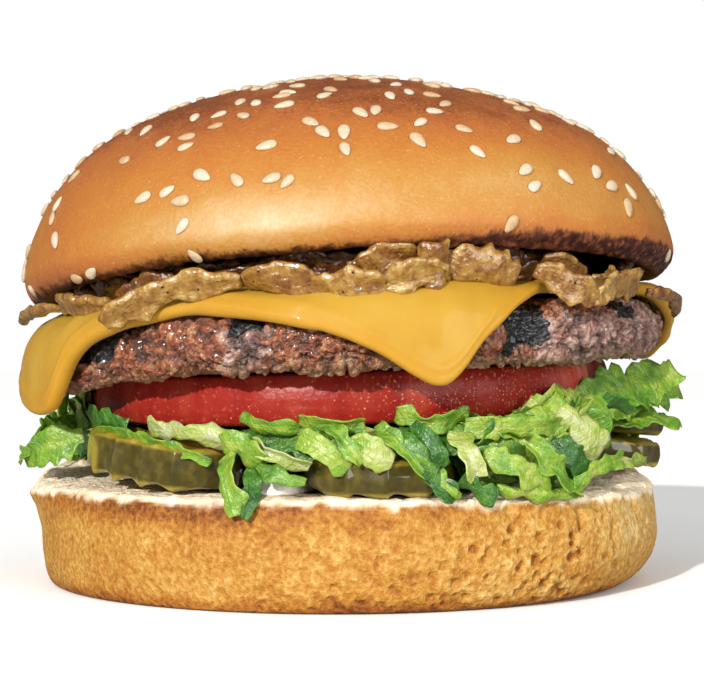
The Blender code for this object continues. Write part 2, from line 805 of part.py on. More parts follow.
def onion_slab(draw, direction, reach, floors, ceiling):
    """A soft piece of onion layer that lies along the rim, in the gap under the top bun, as
    points and faces. Where the gap is too low for it there is None."""
    steps = 4
    run = draw.choice((-1.0, 1.0)) * draw.uniform(9.0, 20.0)
    width = draw.uniform(6.0, 9.0)
    share = draw.uniform(0.2, 0.8)
    line, room = [], []
    for k in range(steps + 1):
        t = k / steps
        radius = ONION_CORE_RADIUS - 2.5 + reach * math.sin(0.5 * math.pi * t)
        place = polar(radius, math.radians(direction + run * (t - 0.4)), 52.8)
        hits = [tree.ray_cast(place, Vector((0.0, 0.0, -1.0)))[0] for tree in floors]
        place.z = max((hit.z for hit in hits if hit), default=0.0)
        if place.z < 42.0:
            place.z = line[-1].z - 2.0 if line else 46.0
        roof = ceiling.ray_cast(place, Vector((0.0, 0.0, 1.0)))[0]
        room.append(min(6.0, roof.z - place.z) if roof else 6.0)
        line.append(place)
    thickness = min(draw.uniform(1.7, 2.4), min(room) - 0.8)
    if thickness < 0.9:
        return None
    across = []
    for k in range(steps + 1):
        line[k].z += 0.4 + 0.5 * thickness + share * (room[k] - thickness - 0.8)
        ahead = line[min(k + 1, steps)] - line[max(k - 1, 0)]
        level = Vector((-ahead.y, ahead.x, 0.0)).normalized()
        across.append(level * (0.5 * width * (0.75 + 0.25 * math.sin(math.pi * k / steps))))
    return ribbon(line, across, thickness)


def make_onions(parent, patty, cheese, crown):
    core = new_object("onions", turned(onion_core_profile), "onion", parent)
    floors = [surface_tree(patty), surface_tree(cheese)]
    ceiling = surface_tree(crown)
    draw = random.Random(3)
    slabs = []
    for k in range(ONION_PIECES):
        for attempt in range(60):
            direction = 360.0 * (k + draw.uniform(-0.4, 0.4)) / ONION_PIECES
            far = 4.0 * near(math.radians(direction), 2.0, 20.0)
            far += 4.0 * near(math.radians(direction), 193.0, 14.0)
            reach = (draw.uniform(8.0, 15.0) + far) * (1.0 - 0.4 * attempt / 60.0)
            piece = onion_slab(draw, direction, reach, floors, ceiling)
            if piece and is_clear(*piece, [*floors, ceiling]):
                slabs.append(piece)
                break
    fuse(core, "slabs", slabs, "onion")
    print(len(slabs), "onion pieces")
    return core


def main():
    for old in list(bpy.data.objects):
        bpy.data.objects.remove(old)
    burger = bpy.data.objects.new("burger", None)
    bpy.context.scene.collection.objects.link(burger)
    heel = make_bottom_bun(burger)
    mayonnaise = make_mayonnaise(burger)
    pickles = make_pickles(burger)
    tomato = make_tomato(burger)
    patty = make_patty(burger)
    cheese = make_cheese(burger)
    crown = make_top_bun(burger)
    make_lettuce(burger, [heel, mayonnaise, *pickles, tomato, patty, cheese])
    make_onions(burger, patty, cheese, crown)


main()
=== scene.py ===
# %% [markdown]
# # A cheeseburger, layer by layer
#
# This lesson dresses the solid model of a cheeseburger. The solids fix where each layer lies and
# how large it is. Each cell below makes one layer again with the detail that the eye looks for,
# such as pores, crags, ruffles and gloss, and paints it with nodes.
#
# The frame comes first: it holds the solids, in metres, with the origin under the bottom bun,
# +Z up and the dressed side facing -Y.

# %% Load the solids
import json
import math

import bmesh
import bpy
import numpy as np
from mathutils import Matrix, Vector, noise
from mathutils.bvhtree import BVHTree

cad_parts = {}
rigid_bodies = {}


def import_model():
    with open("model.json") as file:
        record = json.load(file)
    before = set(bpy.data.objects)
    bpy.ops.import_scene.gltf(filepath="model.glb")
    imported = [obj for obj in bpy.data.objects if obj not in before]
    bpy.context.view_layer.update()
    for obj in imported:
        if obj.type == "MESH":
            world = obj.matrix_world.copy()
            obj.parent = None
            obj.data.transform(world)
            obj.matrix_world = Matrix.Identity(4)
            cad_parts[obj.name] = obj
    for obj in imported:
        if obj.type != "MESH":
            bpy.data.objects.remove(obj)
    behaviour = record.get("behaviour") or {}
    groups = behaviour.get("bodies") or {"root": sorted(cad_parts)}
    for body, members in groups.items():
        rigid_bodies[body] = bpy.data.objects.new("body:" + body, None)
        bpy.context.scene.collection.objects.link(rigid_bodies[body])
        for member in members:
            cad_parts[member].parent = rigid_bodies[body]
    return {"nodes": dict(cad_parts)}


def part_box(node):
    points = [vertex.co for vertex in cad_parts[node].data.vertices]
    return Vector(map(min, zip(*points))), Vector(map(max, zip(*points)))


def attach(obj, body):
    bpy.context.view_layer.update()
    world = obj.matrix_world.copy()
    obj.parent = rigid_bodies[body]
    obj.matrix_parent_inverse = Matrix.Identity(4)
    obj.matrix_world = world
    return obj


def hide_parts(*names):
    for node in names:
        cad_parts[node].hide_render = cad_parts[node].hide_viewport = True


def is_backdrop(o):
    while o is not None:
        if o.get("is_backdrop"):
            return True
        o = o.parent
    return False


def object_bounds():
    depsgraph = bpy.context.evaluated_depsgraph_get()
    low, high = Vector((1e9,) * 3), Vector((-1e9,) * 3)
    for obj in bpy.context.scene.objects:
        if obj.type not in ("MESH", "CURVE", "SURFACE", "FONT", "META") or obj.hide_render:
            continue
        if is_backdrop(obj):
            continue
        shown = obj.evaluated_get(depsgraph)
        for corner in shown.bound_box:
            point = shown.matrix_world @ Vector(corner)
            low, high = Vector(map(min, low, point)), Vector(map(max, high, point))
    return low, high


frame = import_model()
cad_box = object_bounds()
print("solids:", sorted(frame["nodes"]))

# %% [markdown]
# ## The camera and the light
#
# The burger is looked at almost level, from a little over 30 cm away, with its own middle just
# above the horizon. A long lens keeps the perspective as gentle as in the picture. The main light
# is hard, stands low behind the camera's left shoulder, and throws a sharp shadow to the right. A
# tall panel beside it puts long highlights on whatever is wet, and a wide fill at the right keeps
# that side bright. The view transform is the plain one, so a lit colour is shown as it is.

# %% Camera and lamps
MM = 0.001
LENS, CAMERA_PLACE = 92.45, (0.0004, -0.320, 0.038)
CAMERA_TILT = 90.65  # degrees up from straight down, so a little above level
LAMP_AIM = (0.0, 0.0, 0.045)


def look(lens, place):
    camera = bpy.data.cameras.new("camera")
    camera.lens = lens
    camera.clip_start, camera.clip_end = 0.01, 20.0
    holder = bpy.data.objects.new("camera", camera)
    bpy.context.scene.collection.objects.link(holder)
    facing = Matrix.Rotation(math.radians(CAMERA_TILT), 4, "X")
    holder.matrix_world = Matrix.Translation(place) @ facing
    bpy.context.scene.camera = holder


def lamp(name, kind, place, strength, **shape):
    """A lamp that points at the middle of the burger."""
    light = bpy.data.lights.new(name, kind)
    light.energy = strength
    for setting, value in shape.items():
        setattr(light, setting, value)
    holder = bpy.data.objects.new(name, light)
    bpy.context.scene.collection.objects.link(holder)
    holder.location = place
    way = Vector(LAMP_AIM) - Vector(place)
    holder.rotation_euler = way.to_track_quat("-Z", "Y").to_euler()


def surround(strength, mirrored, seen):
    """An even white light from all round. It is dimmer in reflections, as black flags would make
    it in a studio, and the backdrop that the camera sees is white."""
    world = bpy.data.worlds.new("studio")
    world.use_nodes = True
    nodes, link = world.node_tree.nodes, world.node_tree.links.new
    ray, shown = nodes.new("ShaderNodeLightPath"), nodes["Background"]
    shown.inputs["Strength"].default_value = strength
    for name, value in (("Is Glossy Ray", mirrored), ("Is Camera Ray", seen)):
        other, choice = nodes.new("ShaderNodeBackground"), nodes.new("ShaderNodeMixShader")
        other.inputs["Strength"].default_value = value
        link(ray.outputs[name], choice.inputs[0])
        link(shown.outputs[0], choice.inputs[1])
        link(other.outputs[0], choice.inputs[2])
        shown = choice
    for node in nodes:
        if node.type == "BACKGROUND":
            node.inputs["Color"].default_value = (1.0, 1.0, 1.0, 1.0)
    link(shown.outputs[0], nodes["World Output"].inputs["Surface"])
    bpy.context.scene.world = world


look(LENS, CAMERA_PLACE)
lamp("sun", "SUN", (-0.37, -0.86, 0.40), 4.2, angle=math.radians(1.6))
lamp("panel", "AREA", (-0.30, -0.62, 0.42), 0.9, shape="RECTANGLE", size=0.08, size_y=0.45)
lamp("fill", "AREA", (0.52, -0.62, 0.20), 4.3, shape="DISK", size=0.6)
surround(0.54, 0.12, 1.0)
bpy.context.scene.view_settings.view_transform = "Standard"
print("lens", bpy.context.scene.camera.data.lens, "mm")

# %% [markdown]
# ## Paint made of nodes
#
# A food's surface is never one colour, so every finish here is worked out from a few nodes. Wiring
# them by hand takes many lines. One small class wraps a socket instead, so that `1 - mask` adds
# the node that does the sum, and one method makes any other node. Distances are in millimetres.


# %% A class for sockets and one for finishes
class Wire:
    """One output of a node, which can be used in sums as if it were a number."""

    def __init__(self, finish, socket):
        self.finish, self.socket = finish, socket

    def sum(self, operation, first, second):
        values = {0: first, 1: second}
        return self.finish.node("ShaderNodeMath", {"operation": operation}, values)

    def __add__(self, other):
        return self.sum("ADD", self, other)

    def __sub__(self, other):
        return self.sum("SUBTRACT", self, other)

    def __rsub__(self, other):
        return self.sum("SUBTRACT", other, self)

    def __mul__(self, other):
        return self.sum("MULTIPLY", self, other)

    def wave(self):
        return self.sum("SINE", self, 0.0)

    __radd__, __rmul__ = __add__, __mul__


SHADE = 0.56  # the light is strong at the front, so colours are laid down darker than they look


def paint(code, shade=SHADE):
    """The linear colour of a six-digit code such as c4722f."""
    parts = [int(code[k : k + 2], 16) / 255.0 for k in (0, 2, 4)]
    linear = [p / 12.92 if p <= 0.04045 else ((p + 0.055) / 1.055) ** 2.4 for p in parts]
    return (*(shade * value for value in linear), 1.0)


class Finish:
    """A material whose nodes are added one expression at a time."""

    def __init__(self, name, shade=SHADE, **steady):
        self.shade = shade
        self.material = bpy.data.materials.new(name)
        self.material.use_nodes = True
        self.tree = self.material.node_tree
        self.shader = self.tree.nodes["Principled BSDF"]
        for socket, value in steady.items():
            self.shader.inputs[socket.replace("_", " ")].default_value = value
        self.place = self.moved(self.node("ShaderNodeTexCoord", {}, {}, "Object"), (1000.0,) * 3)

    def node(self, kind, settings, inputs, output=0):
        made = self.tree.nodes.new(kind)
        for name, value in settings.items():
            setattr(made, name, value)
        for key, value in inputs.items():
            if isinstance(value, Wire):
                self.tree.links.new(value.socket, made.inputs[key])
            else:
                made.inputs[key].default_value = value
        return Wire(self, made.outputs[output])

    def set_stops(self, ramp, stops, shade):
        for _ in stops[2:]:
            ramp.elements.new(0.5)
        for element, (place, code) in zip(ramp.elements, stops):
            element.position, element.color = place, paint(code, shade)

    def moved(self, vector, scale):
        """The vector stretched along each axis."""
        values = {0: vector, 1: scale}
        return self.node("ShaderNodeVectorMath", {"operation": "MULTIPLY"}, values)

    def mark(self, name):
        """A number that was stored on the mesh."""
        return self.node("ShaderNodeAttribute", {"attribute_name": name}, {}, "Fac")

    def speckle(self, size, detail=2.0, stretch=(1.0, 1.0, 1.0)):
        """Soft blotches from 0 to 1, size millimetres across."""
        where = self.moved(self.place, tuple(s / size for s in stretch))
        inputs = {"Vector": where, "Detail": detail, "Scale": 1.0}
        return self.node("ShaderNodeTexNoise", {}, inputs)

    def pits(self, size, feature="F1"):
        """Distance to the nearest of many scattered points, size millimetres apart."""
        where = self.moved(self.place, (1.0 / size,) * 3)
        settings = {"feature": feature}
        return self.node("ShaderNodeTexVoronoi", settings, {"Vector": where, "Scale": 1.0})

    def rising(self, value, low, high):
        """0 below low, 1 above high, and smooth between."""
        inputs = {"Value": value, "From Min": low, "From Max": high}
        return self.node("ShaderNodeMapRange", {"interpolation_type": "SMOOTHSTEP"}, inputs)

    def ramp(self, value, stops, shade=None):
        made = self.node("ShaderNodeValToRGB", {}, {"Fac": value})
        self.set_stops(made.socket.node.color_ramp, stops, shade or self.shade)
        return made

    def mixed(self, share, under, over):
        """One colour laid over another. A colour is a code or a wire."""
        under, over = (paint(c, self.shade) if isinstance(c, str) else c for c in (under, over))
        settings = {"data_type": "RGBA", "clamp_factor": True}
        return self.node("ShaderNodeMix", settings, {0: share, 6: under, 7: over}, 2)

    def bump(self, height, depth, strength=1.0, under=None):
        inputs = {"Height": height, "Distance": depth * MM, "Strength": strength}
        if under is not None:
            inputs["Normal"] = under
        return self.node("ShaderNodeBump", {}, inputs)

    def finish(self, **wires):
        """Links wires to the shader's sockets and gives the material."""
        for socket, wire in wires.items():
            self.tree.links.new(wire.socket, self.shader.inputs[socket.replace("_", " ")])
        return self.material


print("finishes are ready")

# %% [markdown]
# ## Meshes made of rings
#
# Most layers are nearly round, so they are turned as on a lathe: a profile is repeated at many
# stations round the axis, and may change from one to the next. That alone looks machined. Crumb,
# crags and pores come from pushing each point along its own normal, by amounts taken from noise.
# Two kinds of noise do nearly everything: soft waves, and scattered cells like bubbles or crumbs.
# They are written here with numpy, because a layer has tens of thousands of points.

# %% Noise
TURN = 2.0 * math.pi
GOLDEN = 0.6180339887  # steps of this share of a turn never fall on each other


def scrambled(cells, seed):
    """A repeatable number from 0 to 1 for each cell of a grid."""
    x, y, z = (cells[..., k].astype(np.int64) for k in range(3))
    mixed = (x * 374761393 + y * 668265263 + z * 2147483647 + seed * 974634777) & 0xFFFFFFFF
    mixed = ((mixed ^ (mixed >> 13)) * 1274126177) & 0xFFFFFFFF
    mixed = ((mixed ^ (mixed >> 16)) * 668265263) & 0xFFFFFFFF
    return ((mixed ^ (mixed >> 15)) & 0xFFFFFF) / float(0xFFFFFF)


def waves(points, size, seed=0, octaves=1):
    """Soft noise from -1 to 1 with waves about size millimetres long."""
    total = np.zeros(points.shape[:-1])
    weight, spread = 1.0, 0.0
    for octave in range(octaves):
        scaled = points / size * 2.0**octave + 31.7 * octave
        low = np.floor(scaled)
        share = scaled - low
        share = share * share * (3.0 - 2.0 * share)
        value = 0.0
        for corner in np.ndindex(2, 2, 2):
            near_it = np.prod(np.where(np.array(corner) == 1, share, 1.0 - share), axis=-1)
            value = value + near_it * scrambled(low + corner, seed + octave)
        total += weight * (2.0 * value - 1.0)
        spread += weight
        weight *= 0.5
    return total / spread * 1.6


def cells(points, size, seed=0):
    """Distances, in cells, to the nearest and the next of many scattered points, and a number
    from 0 to 1 that names the nearest."""
    scaled = points / size
    low = np.floor(scaled)
    first = np.full(points.shape[:-1], 9.0)
    second = np.full(points.shape[:-1], 9.0)
    name = np.zeros(points.shape[:-1])
    for step in np.ndindex(3, 3, 3):
        cell = low + np.array(step) - 1.0
        centre = cell + np.stack([scrambled(cell, seed + k) for k in range(3)], -1)
        away = np.linalg.norm(centre - scaled, axis=-1)
        closer = away < first
        second = np.where(closer, first, np.minimum(second, away))
        name = np.where(closer, scrambled(cell, seed + 7), name)
        first = np.where(closer, away, first)
    return first, second, name


def smooth(share):
    share = np.clip(share, 0.0, 1.0)
    return share * share * (3.0 - 2.0 * share)


def unit(vectors):
    """The same directions with a length of 1."""
    return vectors / np.maximum(np.linalg.norm(vectors, axis=-1, keepdims=True), 1e-9)


def degrees_from(centre_deg, degrees):
    """How far directions lie from a centre, from -180 to 180."""
    return (degrees - centre_deg + 180.0) % 360.0 - 180.0


def near(angle, centre_deg, width_deg):
    """1 where the angle is centre_deg, fading to 0 within about two widths."""
    return np.exp(-((degrees_from(centre_deg, np.degrees(angle)) / width_deg) ** 2))


def golden_direction(number):
    """A direction in degrees for each number, spread evenly round the stack."""
    return 360.0 * ((number * GOLDEN) % 1.0)


def uneven(radius, angle, height, cell, seed):
    """The slow waves round the stack that the solids have too."""
    shift = Vector((17.3 * seed, 5.1 * seed, 2.9 * seed))
    return np.array(
        [
            noise.noise(Vector((radius * math.cos(a), radius * math.sin(a), height)) / cell + shift)
            for a in np.ravel(angle)
        ]
    ).reshape(np.shape(angle))


print("noise at the origin:", round(float(waves(np.zeros((1, 3)), 5.0)[0]), 3))

# %% Rings to meshes
STATIONS = {  # how many times each layer's profile is repeated round the axis
    "bottom bun": 640, "mayonnaise": 360, "pickle": 300, "tomato": 420, "patty": 900,
    "cheese": 560, "top bun": 560, "middle of the lettuce": 220, "middle of the onions": 240,
}


def plain_mesh(name, corners, faces, marks=None):
    """An object from corners in millimetres, at the origin, with numbers stored on its points."""
    mesh = bpy.data.meshes.new(name)
    mesh.from_pydata((np.asarray(corners) * MM).tolist(), [], faces)
    mesh.shade_smooth()
    for mark, values in (marks or {}).items():
        stored = mesh.attributes.new(mark, "FLOAT", "POINT")
        stored.data.foreach_set("value", np.asarray(values, np.float32).ravel())
    made = bpy.data.objects.new(name, mesh)
    bpy.context.scene.collection.objects.link(made)
    return made


def wrapped(points, marks=None):
    """Corners, faces and marks of a closed skin over rings of stations, from the bottom centre
    to the top centre."""
    rings, stations, _ = points.shape
    corners = np.concatenate([points.reshape(-1, 3), [points[0].mean(0), points[-1].mean(0)]])
    here = np.arange(rings * stations).reshape(rings, stations)
    after = np.roll(here, -1, axis=1)
    sides = np.stack([here[:-1], after[:-1], after[1:], here[1:]], -1).reshape(-1, 4)
    pole = np.full(stations, rings * stations)
    bottom = np.stack([pole, after[0], here[0]], -1)
    top = np.stack([here[-1], after[-1], pole + 1], -1)
    kept = {
        mark: np.concatenate([v.ravel(), [v[0].mean(), v[-1].mean()]])
        for mark, v in (marks or {}).items()
    }
    return corners, sides.tolist() + bottom.tolist() + top.tolist(), kept


def outward(points):
    """The normal at each point of the rings."""
    along = np.gradient(points, axis=0)
    around = np.roll(points, -1, axis=1) - np.roll(points, 1, axis=1)
    return unit(np.cross(around, along))


def fine(control, spacings):
    """Fills in a profile, given as control points by stations by (radius, height), with points
    about as far apart as spacings says for each stretch."""
    parts = []
    for low, high, spacing in zip(control[:-1], control[1:], spacings):
        steps = max(1, round(float(np.linalg.norm(high - low, axis=-1).mean()) / spacing))
        shares = (np.arange(steps) / steps)[:, None, None]
        parts.append(low + shares * (high - low))
    return np.concatenate([*parts, control[-1:]])


def eased(profile, passes):
    """Rounds a profile's corners."""
    for _ in range(passes):
        middle = (profile[:-2] + 2.0 * profile[1:-1] + profile[2:]) / 4.0
        profile = np.concatenate([profile[:1], middle, profile[-1:]])
    return profile


def turned(profile, angle):
    radius, height = profile[..., 0], profile[..., 1]
    return np.stack([radius * np.cos(angle), radius * np.sin(angle), height], -1)


def around(layer):
    """The angles of a layer's stations."""
    return np.arange(STATIONS[layer]) * TURN / STATIONS[layer]


def stacked(*pairs):
    """A control profile from pairs of (radius, height), each a number or one for each station."""
    stations = max(np.size(v) for pair in pairs for v in pair)
    return np.array([[np.broadcast_to(v, (stations,)) for v in pair] for pair in pairs]).transpose(
        0, 2, 1
    )


def on_stack(direction, radius, height):
    turn = math.radians(direction)
    return np.array([radius * math.cos(turn), radius * math.sin(turn), height])


def solid_tree(made):
    """The faces of a piece, in millimetres, for finding what would run into it."""
    return BVHTree.FromPolygons(
        [v.co / MM for v in made.data.vertices], [tuple(p.vertices) for p in made.data.polygons]
    )


def finished(made, material, slot, *nodes):
    """Gives a piece its material and its place in the frame."""
    made.data.materials.clear()
    made.data.materials.append(material)
    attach(made, "root")
    if nodes:
        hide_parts(*nodes)
    count = sum(len(p.vertices) - 2 for p in made.data.polygons)
    print(f"{made.name}: {count} triangles")
    return made


# %% [markdown]
# ## The bottom bun
#
# The bottom bun is a soft disc of bread with a golden crust that stood in a tin. Its side is full
# of small dimples where bubbles broke under the crust, most of all at the front right, and its cut
# rim is torn and pale. At the left the crust flares out into a lip. The shape could be sculpted,
# but a lathe with a good profile is easier to keep true: the dimples are cells of noise pushed
# inwards, and the torn crumb is finer noise where the crust ends.

# %% Where the crust and the crumb lie
HEEL_RADIUS, HEEL_BASE, HEEL_CORNER = 53.8, 48.2, 9.4
CRUMB_INSETS, CRUMB_RISE, CRUMB_HEIGHT = (0.0, 1.5, 4.0, 8.0), (0.0, 0.5, 0.85, 1.0), 17.4


def heel_rim(angle):
    flare = near(angle, 188.0, 13.0)
    rough = uneven(HEEL_RADIUS, angle, 0.0, 14.0, 1)
    height = 17.0 - 1.6 * flare - 1.0 * near(angle, 0.0, 30.0) + 0.6 * rough
    return 52.8 + 3.0 * flare + 0.5 * rough, height


def crumb_height(inset, angle):
    rim_radius, rim = heel_rim(angle)
    swell = 2.8 * near(angle, 178.0, 20.0) + 2.8 * near(angle, 0.0, 24.0)
    share = np.interp(inset, CRUMB_INSETS, CRUMB_RISE)
    inner = np.clip((rim_radius - inset) / (rim_radius - CRUMB_INSETS[-1]), 0.0, 1.0)
    return rim + (CRUMB_HEIGHT + swell * inner - rim) * share


# %% Turn the bottom bun
def bottom_bun():
    angle = around("bottom bun")
    rim_radius, rim = heel_rim(angle)
    wall = HEEL_RADIUS + 0.6 * uneven(HEEL_RADIUS, angle, 8.0, 22.0, 2)
    base = HEEL_BASE - 3.0 * np.cos(angle) - 2.0 * np.sin(angle)
    pairs = [(0.5, 0.0), (base - 2.0, 0.0), (base, 0.0)]
    for step in (15.0, 30.0, 45.0, 60.0, 75.0, 90.0):
        height = HEEL_CORNER * (1.0 - math.cos(math.radians(step)))
        pairs.append((base + (wall - base) * math.sin(math.radians(step)), height))
    pairs += [(0.6 * wall + 0.4 * rim_radius, 13.0), (rim_radius, rim)]
    for inset in (0.6, 1.5, 2.7, 4.0, 6.0, 8.0, 14.0):
        pairs.append((rim_radius - inset, crumb_height(inset, angle)))
    pairs += [(22.0, CRUMB_HEIGHT), (0.5, CRUMB_HEIGHT)]
    control = stacked(*pairs)
    spacings = [9.0, 1.0] + [0.45] * 8 + [0.4] * 2 + [0.4] * 5 + [0.8, 3.0, 6.0]
    points = turned(eased(fine(control, spacings), 4), angle)
    height = points[..., 2]
    ring = np.arange(len(points))[:, None] * np.ones_like(angle)
    crust_end = int(np.argmin(np.abs(np.hypot(points[:, 0, 0], points[:, 0, 1]) - rim_radius[0])
                              + 9.0 * (height[:, 0] < 12.6)))
    crumb = smooth((ring - crust_end + 1.6 + 1.6 * waves(points, 2.2, 5, 2)) / 2.5)
    side = smooth(height / 2.0) * (1.0 - crumb)
    normal = outward(points)

    bubbles, _, size = cells(points * (1.0, 1.0, 1.1), 2.4, 3)
    small_bubbles, _, small_size = cells(points, 1.7, 11)
    pitted = 0.10 + 0.95 * near(angle, 305.0, 20.0) * smooth((15.5 - height) / 4.0)
    pitted = pitted + 0.25 * near(angle, 270.0, 26.0) * smooth((13.0 - height) / 6.0)
    dimple = 1.15 * smooth((0.44 - bubbles) / 0.16) * (0.45 + 0.55 * size)
    dimple = dimple + 0.34 * smooth((0.44 - small_bubbles) / 0.24) * small_size
    lip = 0.22 * np.exp(-(((bubbles - 0.50) / 0.08) ** 2))
    dent = side * pitted * (lip - dimple)
    slanted = points @ np.array([[0.5, 0.2, 0.55], [0.2, 0.5, 0.0], [-0.35, 0.0, 0.75]])
    scratched = smooth(2.0 * waves(slanted, 2.0, 21, 2)) * near(angle, 272.0, 20.0)
    dent -= side * 0.34 * scratched
    dent += side * (0.25 * waves(points, 9.0, 31, 2) + 0.09 * waves(points, 1.3, 33, 2))
    for centre, depth in ((298.0, 0.5), (313.0, 0.8), (331.0, 0.35)):
        fold = near(angle + 0.012 * waves(points, 4.0, 35), centre, 0.8)
        dent -= depth * fold * smooth((height - 10.5) / 4.0) * (1.0 - crumb)

    torn, _, _ = cells(points * (1.0, 1.0, 0.7), 1.5, 41)
    dent += crumb * (0.34 * waves(points, 2.6, 43, 2) - 0.22 * smooth((0.42 - torn) / 0.3))
    points = points + normal * dent[..., None]
    points[..., 2] = np.maximum(points[..., 2], 0.0)
    points[0, :, 2] = 0.0

    under_rim = smooth((height - 11.0) / 4.5) * (1.0 - crumb)
    bake = 0.42 + 0.10 * waves(points, 10.0, 51, 2) + 0.34 * smooth((3.0 - height) / 3.0)
    bake += under_rim * (0.44 * near(angle, 232.0, 34.0) + 0.10 * near(angle, 285.0, 26.0))
    bake -= 0.30 * near(angle, 338.0, 24.0) * smooth((height - 3.0) / 8.0)
    # Painted shade and highlight: the dimples are laid down darker and their lips paler, as the
    # light would show them.
    bake += side * (0.28 * pitted * dimple - 0.90 * pitted * lip + 0.16 * scratched)
    marks = {"crumb": crumb, "bake": np.clip(bake, 0.0, 1.0)}
    return plain_mesh("bottom_bun_bread", *wrapped(points, marks))


bottom = bottom_bun()

# %% [markdown]
# Bread crust is a thin brown film over pale crumb. Its colour follows how much it was baked, so
# the mesh stores that as a number, and a ramp turns it into colour. The same number also darkens
# the dimples as painted shade and lightens their lips as a painted highlight. Fine speckles break
# it up at the scale of grains, and the same speckles feed the bump.


# %% The crust of the bottom bun
def heel_finish():
    f = Finish("golden crust", Specular_IOR_Level=0.3, Subsurface_Weight=0.06,
               Subsurface_Scale=0.001, Subsurface_Radius=(1.0, 0.55, 0.25))
    grain = f.speckle(0.8, 3.0)
    blotch = f.speckle(2.6, 3.0)
    bake = f.mark("bake") + (grain - 0.5) * 1.05 + (blotch - 0.5) * 0.26
    crust = f.ramp(
        bake,
        [(0.0, "f4d492"), (0.25, "e6b258"), (0.5, "d08f30"), (0.72, "b9701f"), (1.0, "824110")],
    )
    pale = f.ramp(f.speckle(1.1, 4.0) * 0.6 + f.pits(1.4) * 0.5,
                  [(0.1, "e6bd8c"), (0.4, "f6ddb8"), (0.9, "fff0d8")], 0.8)
    crumb = f.mark("crumb")
    colour = f.mixed(crumb, crust, pale)
    rough = 0.62 + (grain - 0.5) * 0.3
    height = blotch * 0.5 - grain + f.speckle(0.25, 1.0) * 0.25
    return f.finish(Base_Color=colour, Roughness=rough, Normal=f.bump(height, 0.5, 1.0))


finished(bottom, heel_finish(), "bottom_bun", "bottom_bun")

# %% [markdown]
# ## The mayonnaise
#
# A spoonful of mayonnaise is spread on the crumb and squeezed out between the pickles, so only two
# white lobes show over the front rim. It is thick, so its edge is round and glossy. It follows the
# crumb below it, and light goes a little way into it.


# %% Spread the mayonnaise
def front_lobe(angle):
    """1 where the mayonnaise is squeezed out at the front, with a blunt end."""
    return np.exp(-(degrees_from(255.0, np.degrees(angle)) / 8.5) ** 4)


def mayo_edge(angle):
    lobes = (
        27.5 * front_lobe(angle) + 22.0 * near(angle, 317.0, 8.0) + 18.0 * near(angle, 30.0, 6.0)
        + 22.0 * near(angle, 91.0, 5.0) + 22.0 * near(angle, 168.0, 12.0)
    )
    return 23.0 + lobes + 0.5 * uneven(46.0, angle, 0.0, 12.0, 3)


def mayonnaise():
    angle = around("mayonnaise")
    rim_radius, _ = heel_rim(angle)
    edge = mayo_edge(angle)
    pairs = []
    for share in (0.02, 0.4, 0.7, 0.86, 0.95, 1.0):
        pairs.append((share * edge, crumb_height(rim_radius - share * edge, angle) + 0.15))
    pairs += [(edge + 0.5, crumb_height(rim_radius - edge, angle) + 0.75)]
    squeezed = 1.3 * front_lobe(angle)
    thickness = ((0.99, 1.35), (0.95, 1.6), (0.86, 1.5), (0.7, 1.3), (0.4, 1.2), (0.02, 1.2))
    for share, thick in thickness:
        height = crumb_height(rim_radius - share * edge, angle) + thick
        height = height + squeezed * (0.8 < share < 0.98)
        pairs.append((share * edge, height))
    points = turned(eased(fine(stacked(*pairs), [3.0] * 3 + [0.5] * 7 + [3.0] * 3), 3), angle)
    lumps = 0.25 * waves(points, 5.0, 61, 2)
    return plain_mesh("mayonnaise_spread", *wrapped(points + outward(points) * lumps[..., None]))


def mayo_finish():
    f = Finish("mayonnaise", 0.85, Subsurface_Weight=0.2, Subsurface_Scale=0.001,
               Coat_Weight=0.3, Coat_Roughness=0.12)
    shade = f.ramp(f.speckle(4.0, 3.0), [(0.3, "efe6d6"), (0.7, "fbf7ef")])
    rough = 0.22 + f.speckle(1.5) * 0.2
    return f.finish(Base_Color=shade, Roughness=rough, Normal=f.bump(f.speckle(2.5, 3.0), 0.4))


finished(mayonnaise(), mayo_finish(), "mayonnaise", "mayonnaise")

# %% [markdown]
# ## The pickles
#
# The pickles are cut with a wavy blade, so each slice has the same waves on both faces, and its
# dark skin stands at the edge with a wet highlight on every crest. Each slice is turned flat at
# the origin and then laid where the solid lies. Its place goes into the mesh, and the object
# itself sits at the origin.

# %% Cut the pickles
PICKLES = (
    # name, middle, half lengths round the rim and across it, thickness, slopes, and how far to
    # the left the skin goes before the slice was cut off
    ("pickle_front", (4.6, -42.4, 20.9), 11.2, 9.6, 5.2, 0.0, 0.09, -99.0),
    ("pickle_left", (-29.4, -31.6, 22.4), 14.2, 8.6, 6.4, -0.088, 0.082, -40.6),
    ("pickle_right_lower", (40.8, -5.4, 22.85), 13.0, 12.4, 4.0, -0.085, 0.0, -99.0),
    ("pickle_right_upper", (44.4, 3.2, 27.3), 11.0, 10.4, 3.4, -0.085, 0.0, -99.0),
    ("pickle_back_right", (18.0, 34.2, 20.7), 13.5, 13.0, 4.6, -0.02, -0.06, -99.0),
    ("pickle_back_left", (-19.6, 32.6, 20.7), 14.0, 13.0, 4.6, 0.02, -0.06, -99.0),
)
RIDGE_PITCH = 6.0


